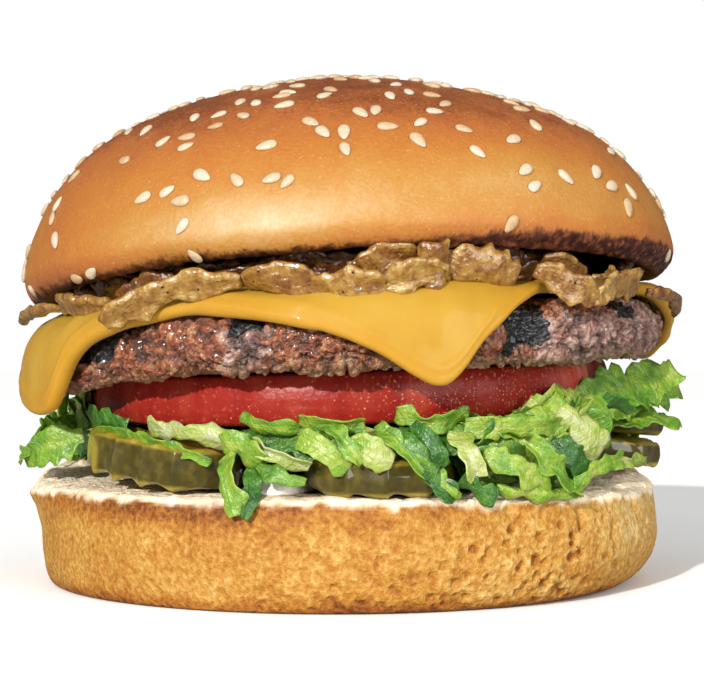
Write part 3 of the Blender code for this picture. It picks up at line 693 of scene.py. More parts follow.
def pickle(seed, name, middle, length, depth, thickness, slope_x, slope_y, cut_x):
    angle = around("pickle")
    half = thickness / 2.0
    radius = min(length, depth)
    across, along = np.abs(np.cos(angle)) / depth, np.abs(np.sin(angle)) / length
    outline = (across**2.7 + along**2.7) ** (-1.0 / 2.7)
    outline = outline * (1.0 + 0.012 * np.cos(7.0 * angle + seed))
    skin = [(outline, -half + 0.5), (outline + 0.25, 0.0), (outline, half - 0.5)]
    control = stacked((0.4, -half), (0.75 * radius, -half), (outline - 0.3, -half + 0.05), *skin,
                      (outline - 0.3, half - 0.05), (0.75 * radius, half), (0.4, half))
    points = turned(eased(fine(control, [0.8, 0.4] + [0.3] * 4 + [0.4, 0.8]), 2), angle)
    wave = np.sin(TURN * points[..., 1] / RIDGE_PITCH + seed)
    points[..., 2] += 0.3 * wave * smooth(np.hypot(points[..., 0], points[..., 1]) / 4.0)
    edge = smooth((np.hypot(points[..., 0], points[..., 1]) - outline + 1.3) / 1.0)
    ridge = np.abs(np.sin(0.5 * TURN * points[..., 1] / RIDGE_PITCH + seed))
    ripple = 0.75 * (0.5 - ridge**0.7) + 0.10 * waves(points, 2.0, seed)
    points += outward(points) * (edge * ripple)[..., None]
    rind = edge * smooth((half - 0.25 - np.abs(points[..., 2])) / 0.5)
    up = Vector((-slope_x, -slope_y, 1.0)).normalized()
    lean = Vector((0.0, 0.0, 1.0)).rotation_difference(up).to_matrix()
    facing = Matrix.Rotation(math.atan2(middle[1], middle[0]), 3, "Z")
    points = points @ np.array(lean @ facing).T + np.array(middle)
    rind = rind * smooth((points[..., 0] - cut_x + 0.4 * waves(points, 2.0, 9)) / 0.9)
    made = plain_mesh(f"{name}_slice", *wrapped(points, {"rind": rind}))
    return finished(made, pickle_paint, "pickle", name)


# %% Pickle skin and flesh
def pickle_finish():
    f = Finish("pickle", Subsurface_Weight=0.15, Subsurface_Scale=0.001, Coat_Weight=0.9,
               Coat_Roughness=0.05, Specular_IOR_Level=0.2, Subsurface_Radius=(0.6, 0.8, 0.15))
    warts = f.speckle(1.8, 3.0)
    skin = f.ramp(warts, [(0.25, "453c0a"), (0.5, "594d12"), (0.8, "7a6c22")])
    flesh = f.ramp(f.speckle(2.2, 3.0), [(0.3, "98851f"), (0.55, "b09a30"), (0.8, "c9b755")])
    colour = f.mixed(f.mark("rind"), flesh, skin)
    rough = 0.35 + f.speckle(0.9) * 0.2
    return f.finish(Base_Color=colour, Roughness=rough, Normal=f.bump(warts, 0.2, 0.5))


pickle_paint = pickle_finish()
for seed, facts in enumerate(PICKLES):
    pickle(seed, *facts)


# %% [markdown]
# ## The tomato
#
# One thick slice. From the side its skin shows as a smooth red band with a blunt corner at the
# front right, and small drops of juice sit on it. The band is turned on a lathe. The drops are
# the first thing that repeats here, so Geometry Nodes make them: loose points carry a size, and
# the tree puts a flattened ball on each one.

# %% Slice the tomato
TOMATO_BOTTOM, TOMATO_TOP = (29.6, 0.030, 0.040), (36.7, 0.035, 0.012)


def on_plane(plane, radius, angle):
    return plane[0] + radius * (plane[1] * np.cos(angle) + plane[2] * np.sin(angle))


def tomato_radius(angle):
    corner = 1.2 * near(angle, 322.0, 9.0) - 0.9 * near(angle, 300.0, 16.0)
    return 44.5 + corner + 0.5 * uneven(44.5, angle, 0.0, 30.0, 4)


def tomato():
    angle = around("tomato")
    outer = tomato_radius(angle)
    low, high = on_plane(TOMATO_BOTTOM, outer, angle), on_plane(TOMATO_TOP, outer, angle)
    pairs = [(0.5, TOMATO_BOTTOM[0]), (outer - 0.9, on_plane(TOMATO_BOTTOM, outer - 0.9, angle))]
    for share, out in ((0.06, -0.2), (0.25, 0.35), (0.5, 0.55), (0.75, 0.35), (0.94, -0.2)):
        pairs.append((outer + out, low + share * (high - low)))
    pairs += [(outer - 0.9, on_plane(TOMATO_TOP, outer - 0.9, angle)), (0.5, TOMATO_TOP[0])]
    points = turned(eased(fine(stacked(*pairs), [2.5] + [0.3] * 6 + [2.5]), 2), angle)
    skin = smooth((np.hypot(points[..., 0], points[..., 1]) - outer + 1.4) / 1.0)
    swell = 0.22 * waves(points * (1.0, 1.0, 0.3), 6.0, 71, 2)
    dent = skin * (swell + 0.04 * waves(points, 1.0, 73))
    points = points + outward(points) * dent[..., None]
    cut = near(angle, 327.0, 10.0) * skin
    return plain_mesh("tomato_slice", *wrapped(points, {"skin": skin, "cut": cut}))


def tomato_finish():
    f = Finish("tomato", Subsurface_Weight=0.15, Subsurface_Scale=0.0015, Coat_Weight=0.08,
               Coat_Roughness=0.3, Specular_IOR_Level=0.12, Subsurface_Radius=(1.0, 0.2, 0.1))
    streak = f.speckle(5.0, 4.0, (1.0, 1.0, 0.35))
    fleck = f.rising(f.speckle(0.7, 1.0), 0.62, 0.72)
    red = f.ramp(streak, [(0.25, "a02319"), (0.5, "b53024"), (0.75, "c84832")])
    red = f.mixed(fleck * 0.35, red, "e27a54")
    pale = f.ramp(f.speckle(1.8, 3.0, (1.0, 1.0, 0.4)), [(0.3, "c8402c"), (0.7, "eb9a82")])
    colour = f.mixed(f.mark("cut") * 0.75, red, pale)
    rough = 0.26 + f.speckle(1.2) * 0.18
    return f.finish(Base_Color=colour, Roughness=rough, Normal=f.bump(f.speckle(0.9, 2.0), 0.15))


slice_of_tomato = finished(tomato(), tomato_finish(), "tomato", "tomato")


# %% A tree that puts one small thing on every point
def socket(tree, name, kind, direction="INPUT"):
    return tree.interface.new_socket(name=name, in_out=direction, socket_type=kind)


def thing_on_points(name, make_thing):
    """A node group: points in, and the thing on each, turned to the point's normal, then spun
    and scaled by the numbers that the point carries."""
    tree = bpy.data.node_groups.new(name, "GeometryNodeTree")
    socket(tree, "Geometry", "NodeSocketGeometry")
    for size in ("Length", "Width", "Height"):
        socket(tree, size, "NodeSocketFloat")
    socket(tree, "Material", "NodeSocketMaterial")
    socket(tree, "Geometry", "NodeSocketGeometry", "OUTPUT")

    def add(kind, **settings):
        made = tree.nodes.new(kind)
        for key, value in settings.items():
            setattr(made, key, value)
        return made

    def carried(attribute, kind="FLOAT"):
        made = add("GeometryNodeInputNamedAttribute", data_type=kind)
        made.inputs["Name"].default_value = attribute
        return made.outputs["Attribute"]

    link = tree.links.new
    given, result = add("NodeGroupInput"), add("NodeGroupOutput")
    thing = make_thing(add, link)
    size = add("ShaderNodeCombineXYZ")
    for axis, side in zip("XYZ", ("Length", "Width", "Height")):
        link(given.outputs[side], size.inputs[axis])
    shaped = add("GeometryNodeTransform")
    link(thing, shaped.inputs["Geometry"])
    link(size.outputs[0], shaped.inputs["Scale"])
    facing = add("FunctionNodeAlignRotationToVector", axis="Z")
    link(carried("normal", "FLOAT_VECTOR"), facing.inputs["Vector"])
    spun = add("FunctionNodeRotateRotation", rotation_space="LOCAL")
    turn = add("FunctionNodeAxisAngleToRotation")
    link(carried("spin"), turn.inputs["Angle"])
    link(facing.outputs[0], spun.inputs["Rotation"])
    link(turn.outputs[0], spun.inputs["Rotate By"])
    placed = add("GeometryNodeInstanceOnPoints")
    link(given.outputs["Geometry"], placed.inputs["Points"])
    link(shaped.outputs[0], placed.inputs["Instance"])
    link(spun.outputs[0], placed.inputs["Rotation"])
    link(carried("scale"), placed.inputs["Scale"])
    real = add("GeometryNodeRealizeInstances")
    link(placed.outputs[0], real.inputs[0])
    coloured = add("GeometryNodeSetMaterial")
    link(real.outputs[0], coloured.inputs["Geometry"])
    link(given.outputs["Material"], coloured.inputs["Material"])
    link(coloured.outputs[0], result.inputs[0])
    return tree


def grown(name, tree, places, normals, spins, scales, sizes, material, marks=None):
    """Runs the tree on loose points and gives the result as a plain mesh."""
    seed_bed = plain_mesh(f"{name}_points", places, [])
    marks = {**(marks or {}), "spin": spins, "scale": scales}
    for mark, values in marks.items():
        stored = seed_bed.data.attributes.new(mark, "FLOAT", "POINT")
        stored.data.foreach_set("value", np.asarray(values, np.float32))
    stored = seed_bed.data.attributes.new("normal", "FLOAT_VECTOR", "POINT")
    stored.data.foreach_set("vector", np.asarray(normals, np.float32).ravel())
    modifier = seed_bed.modifiers.new("grow", "NODES")
    modifier.node_group = tree
    inputs = {i.name: i.identifier for i in tree.interface.items_tree if i.in_out == "INPUT"}
    for side, value in zip(("Length", "Width", "Height"), sizes):
        modifier[inputs[side]] = value * MM
    modifier[inputs["Material"]] = material
    bpy.context.view_layer.update()
    evaluated = seed_bed.evaluated_get(bpy.context.evaluated_depsgraph_get())
    mesh = bpy.data.meshes.new_from_object(evaluated)
    bpy.data.objects.remove(seed_bed)
    mesh.name = name
    mesh.shade_smooth()
    made = bpy.data.objects.new(name, mesh)
    bpy.context.scene.collection.objects.link(made)
    return made


def surface_spots(made, count, seed, wanted):
    """Places and normals picked at random over a mesh. wanted(places, normals) says how likely
    each face is, for its area."""
    mesh = made.data
    size = len(mesh.polygons)
    centres, normals, areas = np.empty(size * 3), np.empty(size * 3), np.empty(size)
    mesh.polygons.foreach_get("center", centres)
    mesh.polygons.foreach_get("normal", normals)
    mesh.polygons.foreach_get("area", areas)
    centres, normals = centres.reshape(-1, 3) / MM, normals.reshape(-1, 3)
    chance = areas * wanted(centres, normals)
    draw = np.random.default_rng(seed)
    pick = draw.choice(size, count, replace=False, p=chance / chance.sum())
    rings = [np.array([mesh.vertices[v].co for v in mesh.polygons[k].vertices]) / MM for k in pick]
    places = [draw.dirichlet(np.ones(len(ring))) @ ring for ring in rings]
    return np.array(places), normals[pick]


# %% Drops of juice on the tomato
DROP_COUNT, DROP_SIZE = 700, (0.30, 0.27, 0.16)


def ball(add, link):
    made = add("GeometryNodeMeshIcoSphere")
    made.inputs["Radius"].default_value = 0.5
    made.inputs["Subdivisions"].default_value = 2
    return made.outputs["Mesh"]


def drops():
    def wanted(places, normals):
        angle = np.arctan2(places[:, 1], places[:, 0])
        level = places[:, 2] - on_plane(TOMATO_BOTTOM, 44.0, angle)
        band = (np.hypot(places[:, 0], places[:, 1]) > 43.5) * smooth(level / 2.0)
        return band * (0.05 + near(angle, 296.0, 20.0)) * (np.abs(normals[:, 2]) < 0.6)

    places, normals = surface_spots(slice_of_tomato, DROP_COUNT, 5, wanted)
    draw = np.random.default_rng(6)
    clear = Finish("juice", Roughness=0.05, IOR=1.34, Coat_Weight=1.0)
    colour = clear.ramp(clear.speckle(0.5), [(0.3, "c9442c"), (0.7, "f0a070")])
    material = clear.finish(Base_Color=colour)
    scales = draw.uniform(0.45, 1.3, len(places)) ** 1.5
    spins = draw.uniform(0.0, TURN, len(places))
    tree = thing_on_points("juice drops", ball)
    made = grown("tomato_juice", tree, places, normals, spins, scales, DROP_SIZE, material)
    return finished(made, material, "tomato")


drops()

# %% [markdown]
# ## The patty
#
# Ground beef holds together in small lumps with cracks between them. Grilling browns the lumps,
# burns round black tongues down the side where it lay on the bars, and leaves a pale fringe of fat
# and juice along the bottom. The relief has to be in the mesh: lumps of three sizes are cells of
# noise, bulged outwards in their middles, and the two larger sizes are cut in along their borders.

# %% The form of the patty
PATTY_TOP, PATTY_RADIUS = (47.8, 0.035, 0.006), 54.0
GRILL_MARKS = (
    # direction, half its width in degrees, how far down the side it reaches, as a share
    (223.0, 6.4, 0.35), (253.4, 4.0, 0.60), (300.0, 5.0, 0.14), (327.0, 6.5, 0.62),
    (349.0, 6.0, 0.7), (22.0, 6.0, 0.5), (52.0, 5.0, 0.6), (80.0, 6.0, 0.45), (112.0, 5.5, 0.6),
    (141.0, 6.0, 0.5), (171.0, 6.0, 0.6),
)


def droop(angle, share):
    side = np.maximum(0.0, np.cos(angle - math.pi))
    return 4.6 * side**2.5 * smooth(share)


def patty_radius(angle):
    return PATTY_RADIUS + 0.7 * uneven(PATTY_RADIUS, angle, 0.0, 24.0, 5)


def patty_top(radius, angle):
    dome = 1.2 * (radius / 50.0) ** 3
    return on_plane(PATTY_TOP, radius, angle) - dome - droop(angle, (radius - 42.0) / 14.0)


def grill_marks(angle, height, wander):
    """1 where the side was pressed against a bar: round tongues that come down from the top."""
    degrees = np.degrees(angle) + 2.2 * wander
    mark = 0.0 * height
    for centre, half_width, low in GRILL_MARKS:
        away = degrees_from(centre, degrees) / half_width
        down = np.maximum(0.0, 0.98 - height - 0.1 * wander) / (1.0 - low)
        mark = np.maximum(mark, smooth((1.0 - (np.abs(away) ** 3 + down**3)) / 0.45))
    return mark


def patty():
    angle = around("patty")
    rim = patty_radius(angle)

    def under(radius):
        return on_plane(TOMATO_TOP, radius, angle) + 0.25 - droop(angle, (radius - 46.0) / 7.0)

    low, shoulder = under(rim), patty_top(rim - 4.0, angle)
    pairs = [(0.5, under(0.5)), (24.0, under(24.0)), (46.0, under(46.0))]
    for out, up in ((-4.5, 0.0), (-1.6, 1.0), (-0.2, 2.6)):
        pairs.append((rim + out, under(rim + out) + up))
    pairs += [(rim + 0.2, low + 0.5 * (shoulder - low)), (rim - 0.2, shoulder - 2.6)]
    pairs += [(rim - 1.7, shoulder - 0.8), (rim - 4.6, patty_top(rim - 4.6, angle))]
    pairs += [(r, patty_top(r, angle)) for r in (42.0, 24.0, 0.5)]
    spacings = [6.0, 4.0, 1.0] + [0.34] * 6 + [0.6, 3.0, 6.0]
    points = turned(eased(fine(stacked(*pairs), spacings), 4), angle)
    normal = outward(points)
    height = (points[..., 2] - low) / (shoulder - low)
    radius = np.hypot(points[..., 0], points[..., 1])
    side = smooth((radius - rim + 7.0) / 3.0)

    bent = points + 1.3 * np.stack([waves(points, 4.0, 80 + k, 2) for k in range(3)], -1)
    near_lump, next_lump, tone = cells(bent * (1.0, 1.0, 1.25), 3.9, 83)
    near_bit, next_bit, bit_tone = cells(bent * (1.0, 1.0, 1.3), 1.55, 89)
    near_grain, _, grain_tone = cells(bent * (1.0, 1.0, 1.2), 0.85, 95)
    crack = smooth((0.13 - (next_lump - near_lump)) / 0.13) * smooth(tone * 2.5 - 0.4)
    bit_crack = smooth((0.2 - (next_bit - near_bit)) / 0.2)
    char = grill_marks(angle, height, waves(points, 2.4, 91, 2)) * side
    relief = 0.45 - 0.42 * near_lump**2 - 0.95 * crack - 0.45 * bit_crack - 0.5 * near_bit**2
    relief += 0.55 * waves(points, 9.0, 93, 2) + 0.22 * (0.5 - near_grain)
    relief = side * relief * (1.0 - 0.15 * char) - 0.6 * char
    fringe = smooth((0.17 - height) / 0.1) * side * (radius > rim - 4.0)
    points = points + normal * (0.95 * relief - 0.1)[..., None]
    points[..., 2] -= fringe * (0.45 + 0.6 * waves(points, 3.6, 99, 2))
    # Painted sheen: where this is high, a pale grey-lavender colour stands in for light on wet
    # meat, low at the front right, at the right and in the grill mark at 253 degrees.
    cool = near(angle, 316.0, 17.0) * smooth((0.95 - height) / 0.4)
    cool = cool + 0.8 * near(angle, 340.0, 18.0) + 0.9 * near(angle, 253.4, 4.5)
    marks = {
        "char": char,
        "fat": fringe,
        "tone": 0.25 * tone + 0.35 * bit_tone + 0.4 * grain_tone,
        "crack": np.clip(0.8 * crack + 0.55 * bit_crack, 0.0, 1.0),
        "cool": np.clip(cool, 0.0, 1.0),
    }
    marks = {mark: value + 0.0 * height for mark, value in marks.items()}
    return plain_mesh("patty_beef", *wrapped(points, marks))


# %% [markdown]
# Each lump has its own brown, which the mesh stores as its tone. The cracks are painted darker, as
# painted shade, and a pale grey-lavender colour low at the front right, at the right and in one
# grill mark is a painted sheen. The char is almost black and glossy, and the whole surface is wet
# with fat, so the roughness changes from place to place and a thin coat catches the light.


# %% Browned beef
def patty_finish():
    f = Finish("browned beef", Coat_Weight=0.55, Coat_Roughness=0.1, Specular_IOR_Level=0.8)
    grain = f.speckle(0.55, 3.0)
    patch = f.speckle(2.6, 3.0)
    tone = f.mark("tone") * 0.55 + grain * 0.6 + (patch - 0.5) * 0.8
    brown = f.ramp(
        tone,
        [(0.18, "441406"), (0.36, "843711"), (0.55, "b85f2d"), (0.72, "d88f58"), (0.95, "f2cca6")],
    )
    grey = f.ramp(tone, [(0.18, "4c2a26"), (0.4, "98685a"), (0.6, "cfa596"), (0.9, "f6e0d6")])
    # The painted sheen: pale grey-lavender in place of the light's reflection on wet meat.
    cool = f.mark("cool") * 1.6 + (patch - 0.5) * 2.4 - 0.5
    colour = f.mixed(f.rising(cool, 0.0, 0.7) * 0.7, brown, grey)
    # Painted shade: the cracks between lumps are laid down almost black.
    colour = f.mixed(f.mark("crack") * 0.85, colour, "1e0803")
    scorched = f.rising(f.speckle(4.5, 4.0, (1.0, 1.0, 0.7)), 0.54, 0.68)
    colour = f.mixed(scorched * 0.75, colour, f.ramp(grain, [(0.35, "1a0804"), (0.7, "5a2810")]))
    fringe = f.ramp(grain, [(0.3, "8a6248"), (0.7, "c4a07c")])
    colour = f.mixed(f.mark("fat") * 0.55, colour, fringe)
    burnt = f.mark("char") + (grain - 0.5) * 1.2 + (patch - 0.5) * 1.2
    burnt = f.rising(burnt, 0.4, 0.7)
    coal = f.ramp(grain, [(0.35, "030202"), (0.6, "0b0809"), (0.8, "2c1f1e")])
    colour = f.mixed(burnt, colour, coal)
    rough = 0.2 + f.speckle(1.1, 2.0) * 0.3 - burnt * 0.2
    height = grain + f.speckle(0.26, 2.0) * 0.45 + patch * 0.4
    return f.finish(Base_Color=colour, Roughness=rough, Normal=f.bump(height, 0.6, 1.0))


finished(patty(), patty_finish(), "patty", "patty")

# %% [markdown]
# ## The cheese
#
# A square slice of cheese has melted over the patty. Where it lies flat it is hidden. What shows is
# how it folds over the shoulder and hangs, with one corner at the front, one at the left and one
# behind at the right. A cloth simulation could drape it, but cheese stretches and clings. Here the
# slice is laid along a path instead: out over the patty, round its shoulder, and down its side.

# %% The path of the slice
CHEESE_EDGE = (
    # direction, and how far the slice runs that way from the axis, along its own face
    (0.0, 58.0), (8.0, 61.0), (17.0, 64.0), (30.0, 61.0), (50.0, 55.0), (75.0, 50.0), (92.0, 54.0),
    (107.0, 63.0), (122.0, 57.0), (145.0, 51.0), (165.0, 53.0), (177.0, 57.0), (188.0, 61.5),
    (204.0, 65.7), (210.0, 66.8), (215.5, 66.2), (218.5, 59.5), (223.5, 56.4), (230.0, 54.6),
    (238.0, 53.5), (245.0, 52.9), (256.0, 55.2), (263.0, 56.4), (267.0, 57.5), (270.0, 58.5),
    (274.0, 60.5), (277.0, 62.6), (280.0, 64.6), (283.5, 66.4), (286.0, 65.0), (289.0, 61.2),
    (291.0, 58.6), (295.0, 56.0), (300.0, 53.6), (308.0, 49.5), (322.0, 45.0), (338.0, 46.0),
    (350.0, 54.0),
)
CHEESE_THICKNESS = 2.4


def cheese_run(angle):
    directions, runs = np.array(CHEESE_EDGE).T
    nearby = [np.degrees(angle) + step for step in np.arange(-1.8, 1.9, 0.6)]
    return np.mean([np.interp(at, directions, runs, period=360.0) for at in nearby], axis=0)


def cheese_seat(radius, angle):
    return patty_top(radius, angle) + 0.7 + 0.1 * droop(angle, (radius - 42.0) / 14.0)


def cheese_point(angle, run):
    """Place of a point of the slice's lower face, and the direction that its upper face lies in."""
    shoulder = patty_radius(angle) - 3.3
    start = np.arctan(2.0 * (cheese_seat(shoulder - 0.5, angle) - cheese_seat(shoulder, angle)))
    steepest = math.radians(84.0)
    bend = 4.5 / (math.sin(steepest) - np.sin(start))
    slope = np.minimum(steepest, start + np.maximum(0.0, run - shoulder) / bend)
    slope = np.where(run <= shoulder, 0.0, slope)
    hanging = np.maximum(0.0, run - shoulder - bend * (steepest - start))
    curl = np.where(run <= shoulder, 0.0, bend)
    radius = np.minimum(run, shoulder) + curl * (np.sin(slope) - np.sin(start))
    height = cheese_seat(np.minimum(run, shoulder), angle) - curl * (np.cos(start) - np.cos(slope))
    radius = radius + hanging * math.cos(steepest)
    height = height - hanging * math.sin(steepest)
    level = np.stack([np.cos(angle), np.sin(angle), 0.0 * angle], -1) + 0.0 * radius[..., None]
    place = radius[..., None] * level
    place[..., 2] = height
    above = np.sin(slope)[..., None] * level
    above[..., 2] = np.cos(slope)
    return place, above


def cheese():
    angle = around("cheese")
    reach = cheese_run(angle) + 0.25 * uneven(50.0, angle, 0.0, 7.0, 12)
    shares = np.concatenate([[0.01, 0.3, 0.6], np.linspace(0.74, 1.0, 44)])
    lower, above = cheese_point(angle[None, :] + 0.0 * shares[:, None], shares[:, None] * reach)
    thick = CHEESE_THICKNESS * (1.0 - 0.12 * smooth((shares - 0.86) / 0.08))
    thick = thick + 0.22 * np.exp(-(((shares - 0.975) / 0.012) ** 2))
    upper = lower + above * thick[:, None, None]
    rounded = []
    outer_low, outer_high = lower[-1], upper[-1]
    outwards = unit(lower[-1] - lower[-2])
    for step in (25.0, 50.0, 75.0, 90.0, 105.0, 130.0, 155.0):
        bulge = math.sin(math.radians(step))
        share = 0.5 - 0.5 * math.cos(math.radians(step))
        rounded.append(outer_low + share * (outer_high - outer_low) + outwards * bulge * 0.9)
    points = np.concatenate([lower, np.array(rounded), upper[::-1]])
    folds = 0.34 * waves(points * (1.0, 1.0, 0.35), 9.0, 101, 2) + 0.03 * waves(points, 2.0, 103)
    points = points + outward(points) * folds[..., None]
    edge = np.concatenate([shares * 0.0 + 0.3, np.ones(7), smooth((shares[::-1] - 0.95) / 0.05)])
    marks = {"edge": edge[:, None] + 0.0 * points[..., 0]}
    return plain_mesh("cheese_slice", *wrapped(points, marks))


def cheese_finish():
    f = Finish("melted cheese", Subsurface_Weight=0.2, Subsurface_Scale=0.0015, Coat_Weight=0.16,
               Coat_Roughness=0.08, Specular_IOR_Level=0.15, Subsurface_Radius=(1.0, 0.6, 0.12))
    cloud = f.speckle(9.0, 3.0)
    yellow = f.ramp(cloud, [(0.3, "cd9a2b"), (0.55, "d3a335"), (0.8, "d9ad46")])
    fine_grain = f.speckle(0.5, 2.0)
    colour = f.mixed(f.mark("edge") * 0.4, yellow, "d8961f")
    colour = f.mixed(f.rising(fine_grain, 0.6, 0.75) * 0.2, colour, "e09a24")
    rough = 0.5 + f.speckle(3.0, 3.0) * 0.2
    height = f.speckle(4.0, 2.0) + fine_grain * 0.08
    return f.finish(Base_Color=colour, Roughness=rough, Normal=f.bump(height, 0.3, 0.7))


finished(cheese(), cheese_finish(), "cheese", "cheese")

# %% [markdown]
# ## The top bun
#
# The top bun is a glossy dome, dark at the top where it baked hardest and pale low at the front,
# where the pale patch is partly paler crust and partly a painted highlight of the main light.
# Its rim curls under to a toasted, almost black underside, and the onions lift its front. The dome
# is a super-ellipse, which is fuller than a sphere, over a rim whose height changes round the
# stack. The mesh stores how far each point lies above the rim, and the material draws the burnt
# line along it from that, broken up by upright streaks.

# %% The form of the top bun
CROWN_RADIUS, CROWN_TOP = 57.0, 86.6
CROWN_POWER, CROWN_FULLNESS, CROWN_BASE = 2.06, 2.38, -1.3


def crown_rim(angle):
    lift = 4.6 * np.maximum(0.0, -np.sin(angle)) ** 1.3
    return 49.6 + 2.6 * np.cos(angle) + lift + 0.4 * uneven(CROWN_RADIUS, angle, 0.0, 16.0, 7)


def crown_under(radius, angle):
    rim = crown_rim(angle)
    heights = np.stack(np.broadcast_arrays(
        53.7, 53.7 + 1.3 * np.cos(angle), rim + 3.4, rim + 1.5, rim))
    radii = (0.0, 25.0, 44.0, 50.0, 53.0)
    shares = [np.interp(radius, radii, row) for row in np.eye(5)]
    return sum(share * row for share, row in zip(shares, heights))


def top_bun():
    angle = around("top bun")
    rim = crown_rim(angle)
    base = rim + CROWN_BASE
    pairs = [(0.5, 53.7)] + [(r, crown_under(r, angle)) for r in (25.0, 44.0, 50.0)]
    pairs += [(52.0, rim + 0.5), (53.4, rim), (54.8, rim + 0.5), (55.9, rim + 1.6)]
    pairs += [(56.6, rim + 3.1)]
    for step in range(0, 44):
        turn = math.radians(6.0 + 84.0 * step / 44)
        radius = CROWN_RADIUS * math.cos(turn) ** (2.0 / CROWN_POWER)
        height = (1.0 - (radius / CROWN_RADIUS) ** CROWN_POWER) ** (1.0 / CROWN_FULLNESS)
        pairs.append((radius, base + (CROWN_TOP - base) * height))
    pairs.append((0.5, CROWN_TOP))
    spacings = [6.0, 2.0, 0.7] + [0.4] * 5 + [0.55] * 30 + [0.9] * 16
    points = turned(eased(fine(stacked(*pairs), spacings), 3), angle)
    rise = (points[..., 2] - rim) / (CROWN_TOP - rim)
    radius = np.hypot(points[..., 0], points[..., 1])
    ring = np.arange(len(points))[:, None] + 0.0 * angle
    lowest = int(np.argmin((points[..., 2] - rim).mean(1)))
    dome = smooth((ring - lowest) / 5.0)
    toasted = 1.3 * near(angle, 300.0, 18.0) + 2.9 * near(angle, 337.0, 24.0)
    above = points[..., 2] - rim - toasted + 0.4 * waves(points, 1.6, 111, 2)
    under = np.where(ring <= lowest, 1.0, 1.0 - smooth((above - 0.1) / 0.9))
    push = dome * (0.45 * waves(points, 22.0, 113, 2) + 0.10 * waves(points, 6.0, 115, 2))
    crumbs, _, _ = cells(points, 1.7, 117)
    push += under * (0.22 * waves(points, 1.6, 119, 3) - 0.25 * smooth((0.4 - crumbs) / 0.3))
    wrinkle = smooth(waves(points * (1.0, 1.0, 0.45), 2.6, 121, 2))
    push -= dome * smooth((0.15 - rise) / 0.15) * 0.14 * wrinkle
    push *= smooth(radius / 3.0)
    points = points + outward(points) * push[..., None]

    bake = 0.50 + 0.34 * smooth((rise - 0.3) / 0.5) + 0.08 * waves(points, 14.0, 123, 3)
    # The pale patch low on the front is partly paler crust and partly a painted highlight.
    patch = near(angle, 256.0, 23.0) * np.exp(-(((rise - 0.15) / 0.13) ** 2))
    patch = patch + 0.35 * near(angle, 288.0, 26.0) * np.exp(-(((rise - 0.3) / 0.14) ** 2))
    bake -= 0.36 * patch
    bake += 0.12 * near(angle, 205.0, 24.0) * smooth((0.7 - rise) / 0.4)
    fade = 1.0 - smooth((above - 2.2 - 0.7 * waves(points, 5.0, 127, 2)) / 2.2)
    bake = np.clip(bake, 0.0, 0.86) + 0.12 * fade * dome
    marks = {"bake": np.clip(bake, 0.0, 1.0), "under": under, "above": np.clip(above, 0.0, 6.0)}
    return plain_mesh("top_bun_bread", *wrapped(points, marks))


# %% Egg-washed crust
def crown_finish():
    f = Finish("egg-washed crust", Coat_Weight=0.10, Coat_Roughness=0.4, Subsurface_Weight=0.06,
               Subsurface_Scale=0.002, Specular_IOR_Level=0.3, Subsurface_Radius=(1.0, 0.6, 0.3))
    grain = f.speckle(0.6, 3.0)
    blotch = f.speckle(3.5, 4.0)
    freckle = f.rising(f.speckle(0.5, 1.0), 0.66, 0.74)
    bake = f.mark("bake") + (grain - 0.5) * 0.26 + (blotch - 0.5) * 0.22
    crust = f.ramp(
        bake,
        [(0.0, "e4c89a"), (0.18, "dcaf70"), (0.38, "d09340"), (0.56, "cd8030"), (0.72, "c46f30"),
         (0.86, "9a4e20"), (1.0, "5a2610")],
    )
    crust = f.mixed(freckle * 0.35, crust, "ecbd7c")
    streak = f.speckle(0.55, 2.0, (1.0, 1.0, 0.22))
    above = f.mark("above") + (streak - 0.5) * 2.6
    burn = f.ramp(grain, [(0.35, "32110a"), (0.65, "8a4420")])
    crust = f.mixed(f.rising(above, 1.5, 0.2) * 0.85, crust, burn)
    toast = f.ramp(f.speckle(1.3, 4.0), [(0.3, "220c07"), (0.5, "5a2411"), (0.72, "a85a2a")])
    colour = f.mixed(f.mark("under"), crust, toast)
    rough = 0.46 + blotch * 0.2
    height = grain * 0.5 + blotch * 0.5
    return f.finish(Base_Color=colour, Roughness=rough, Normal=f.bump(height, 0.3, 0.8))


crown = finished(top_bun(), crown_finish(), "top_bun", "top_bun")

# %% [markdown]
# ## The sesame seeds
#
# Seeds fall all over the dome but hold on best near the top. The ones on the front are listed, as
# directions from the middle of the dome. For the rest, a golden-angle spiral spreads them evenly in
# plan, and small random shifts take away the pattern. The same kind of tree as for the drops makes
# them, with a drop-shaped seed in place of the ball.

# %% Shape one seed
SEED_SIZE = (3.15, 2.1, 1.05)


def seed_body(add, link):
    """A ball pulled to a point at one end: its width shrinks along its length."""
    body = add("GeometryNodeMeshUVSphere")
    body.inputs["Segments"].default_value = 14
    body.inputs["Rings"].default_value = 9
    body.inputs["Radius"].default_value = 0.5
    laid = add("GeometryNodeTransform")
    laid.inputs["Rotation"].default_value = (0.0, math.pi / 2.0, 0.0)
    link(body.outputs["Mesh"], laid.inputs["Geometry"])
    place, apart = add("GeometryNodeInputPosition"), add("ShaderNodeSeparateXYZ")
    link(place.outputs[0], apart.inputs[0])
    taper = add("ShaderNodeMapRange")
    for name, value in (("From Min", -0.5), ("From Max", 0.5), ("To Min", 1.08), ("To Max", 0.6)):
        taper.inputs[name].default_value = value
    link(apart.outputs["X"], taper.inputs["Value"])
    together = add("ShaderNodeCombineXYZ")
    link(apart.outputs["X"], together.inputs["X"])
    for axis in "YZ":
        product = add("ShaderNodeMath", operation="MULTIPLY")
        link(apart.outputs[axis], product.inputs[0])
        link(taper.outputs[0], product.inputs[1])
        link(product.outputs[0], together.inputs[axis])
    pulled = add("GeometryNodeSetPosition")
    link(laid.outputs[0], pulled.inputs["Geometry"])
    link(together.outputs[0], pulled.inputs["Position"])
    return pulled.outputs[0]


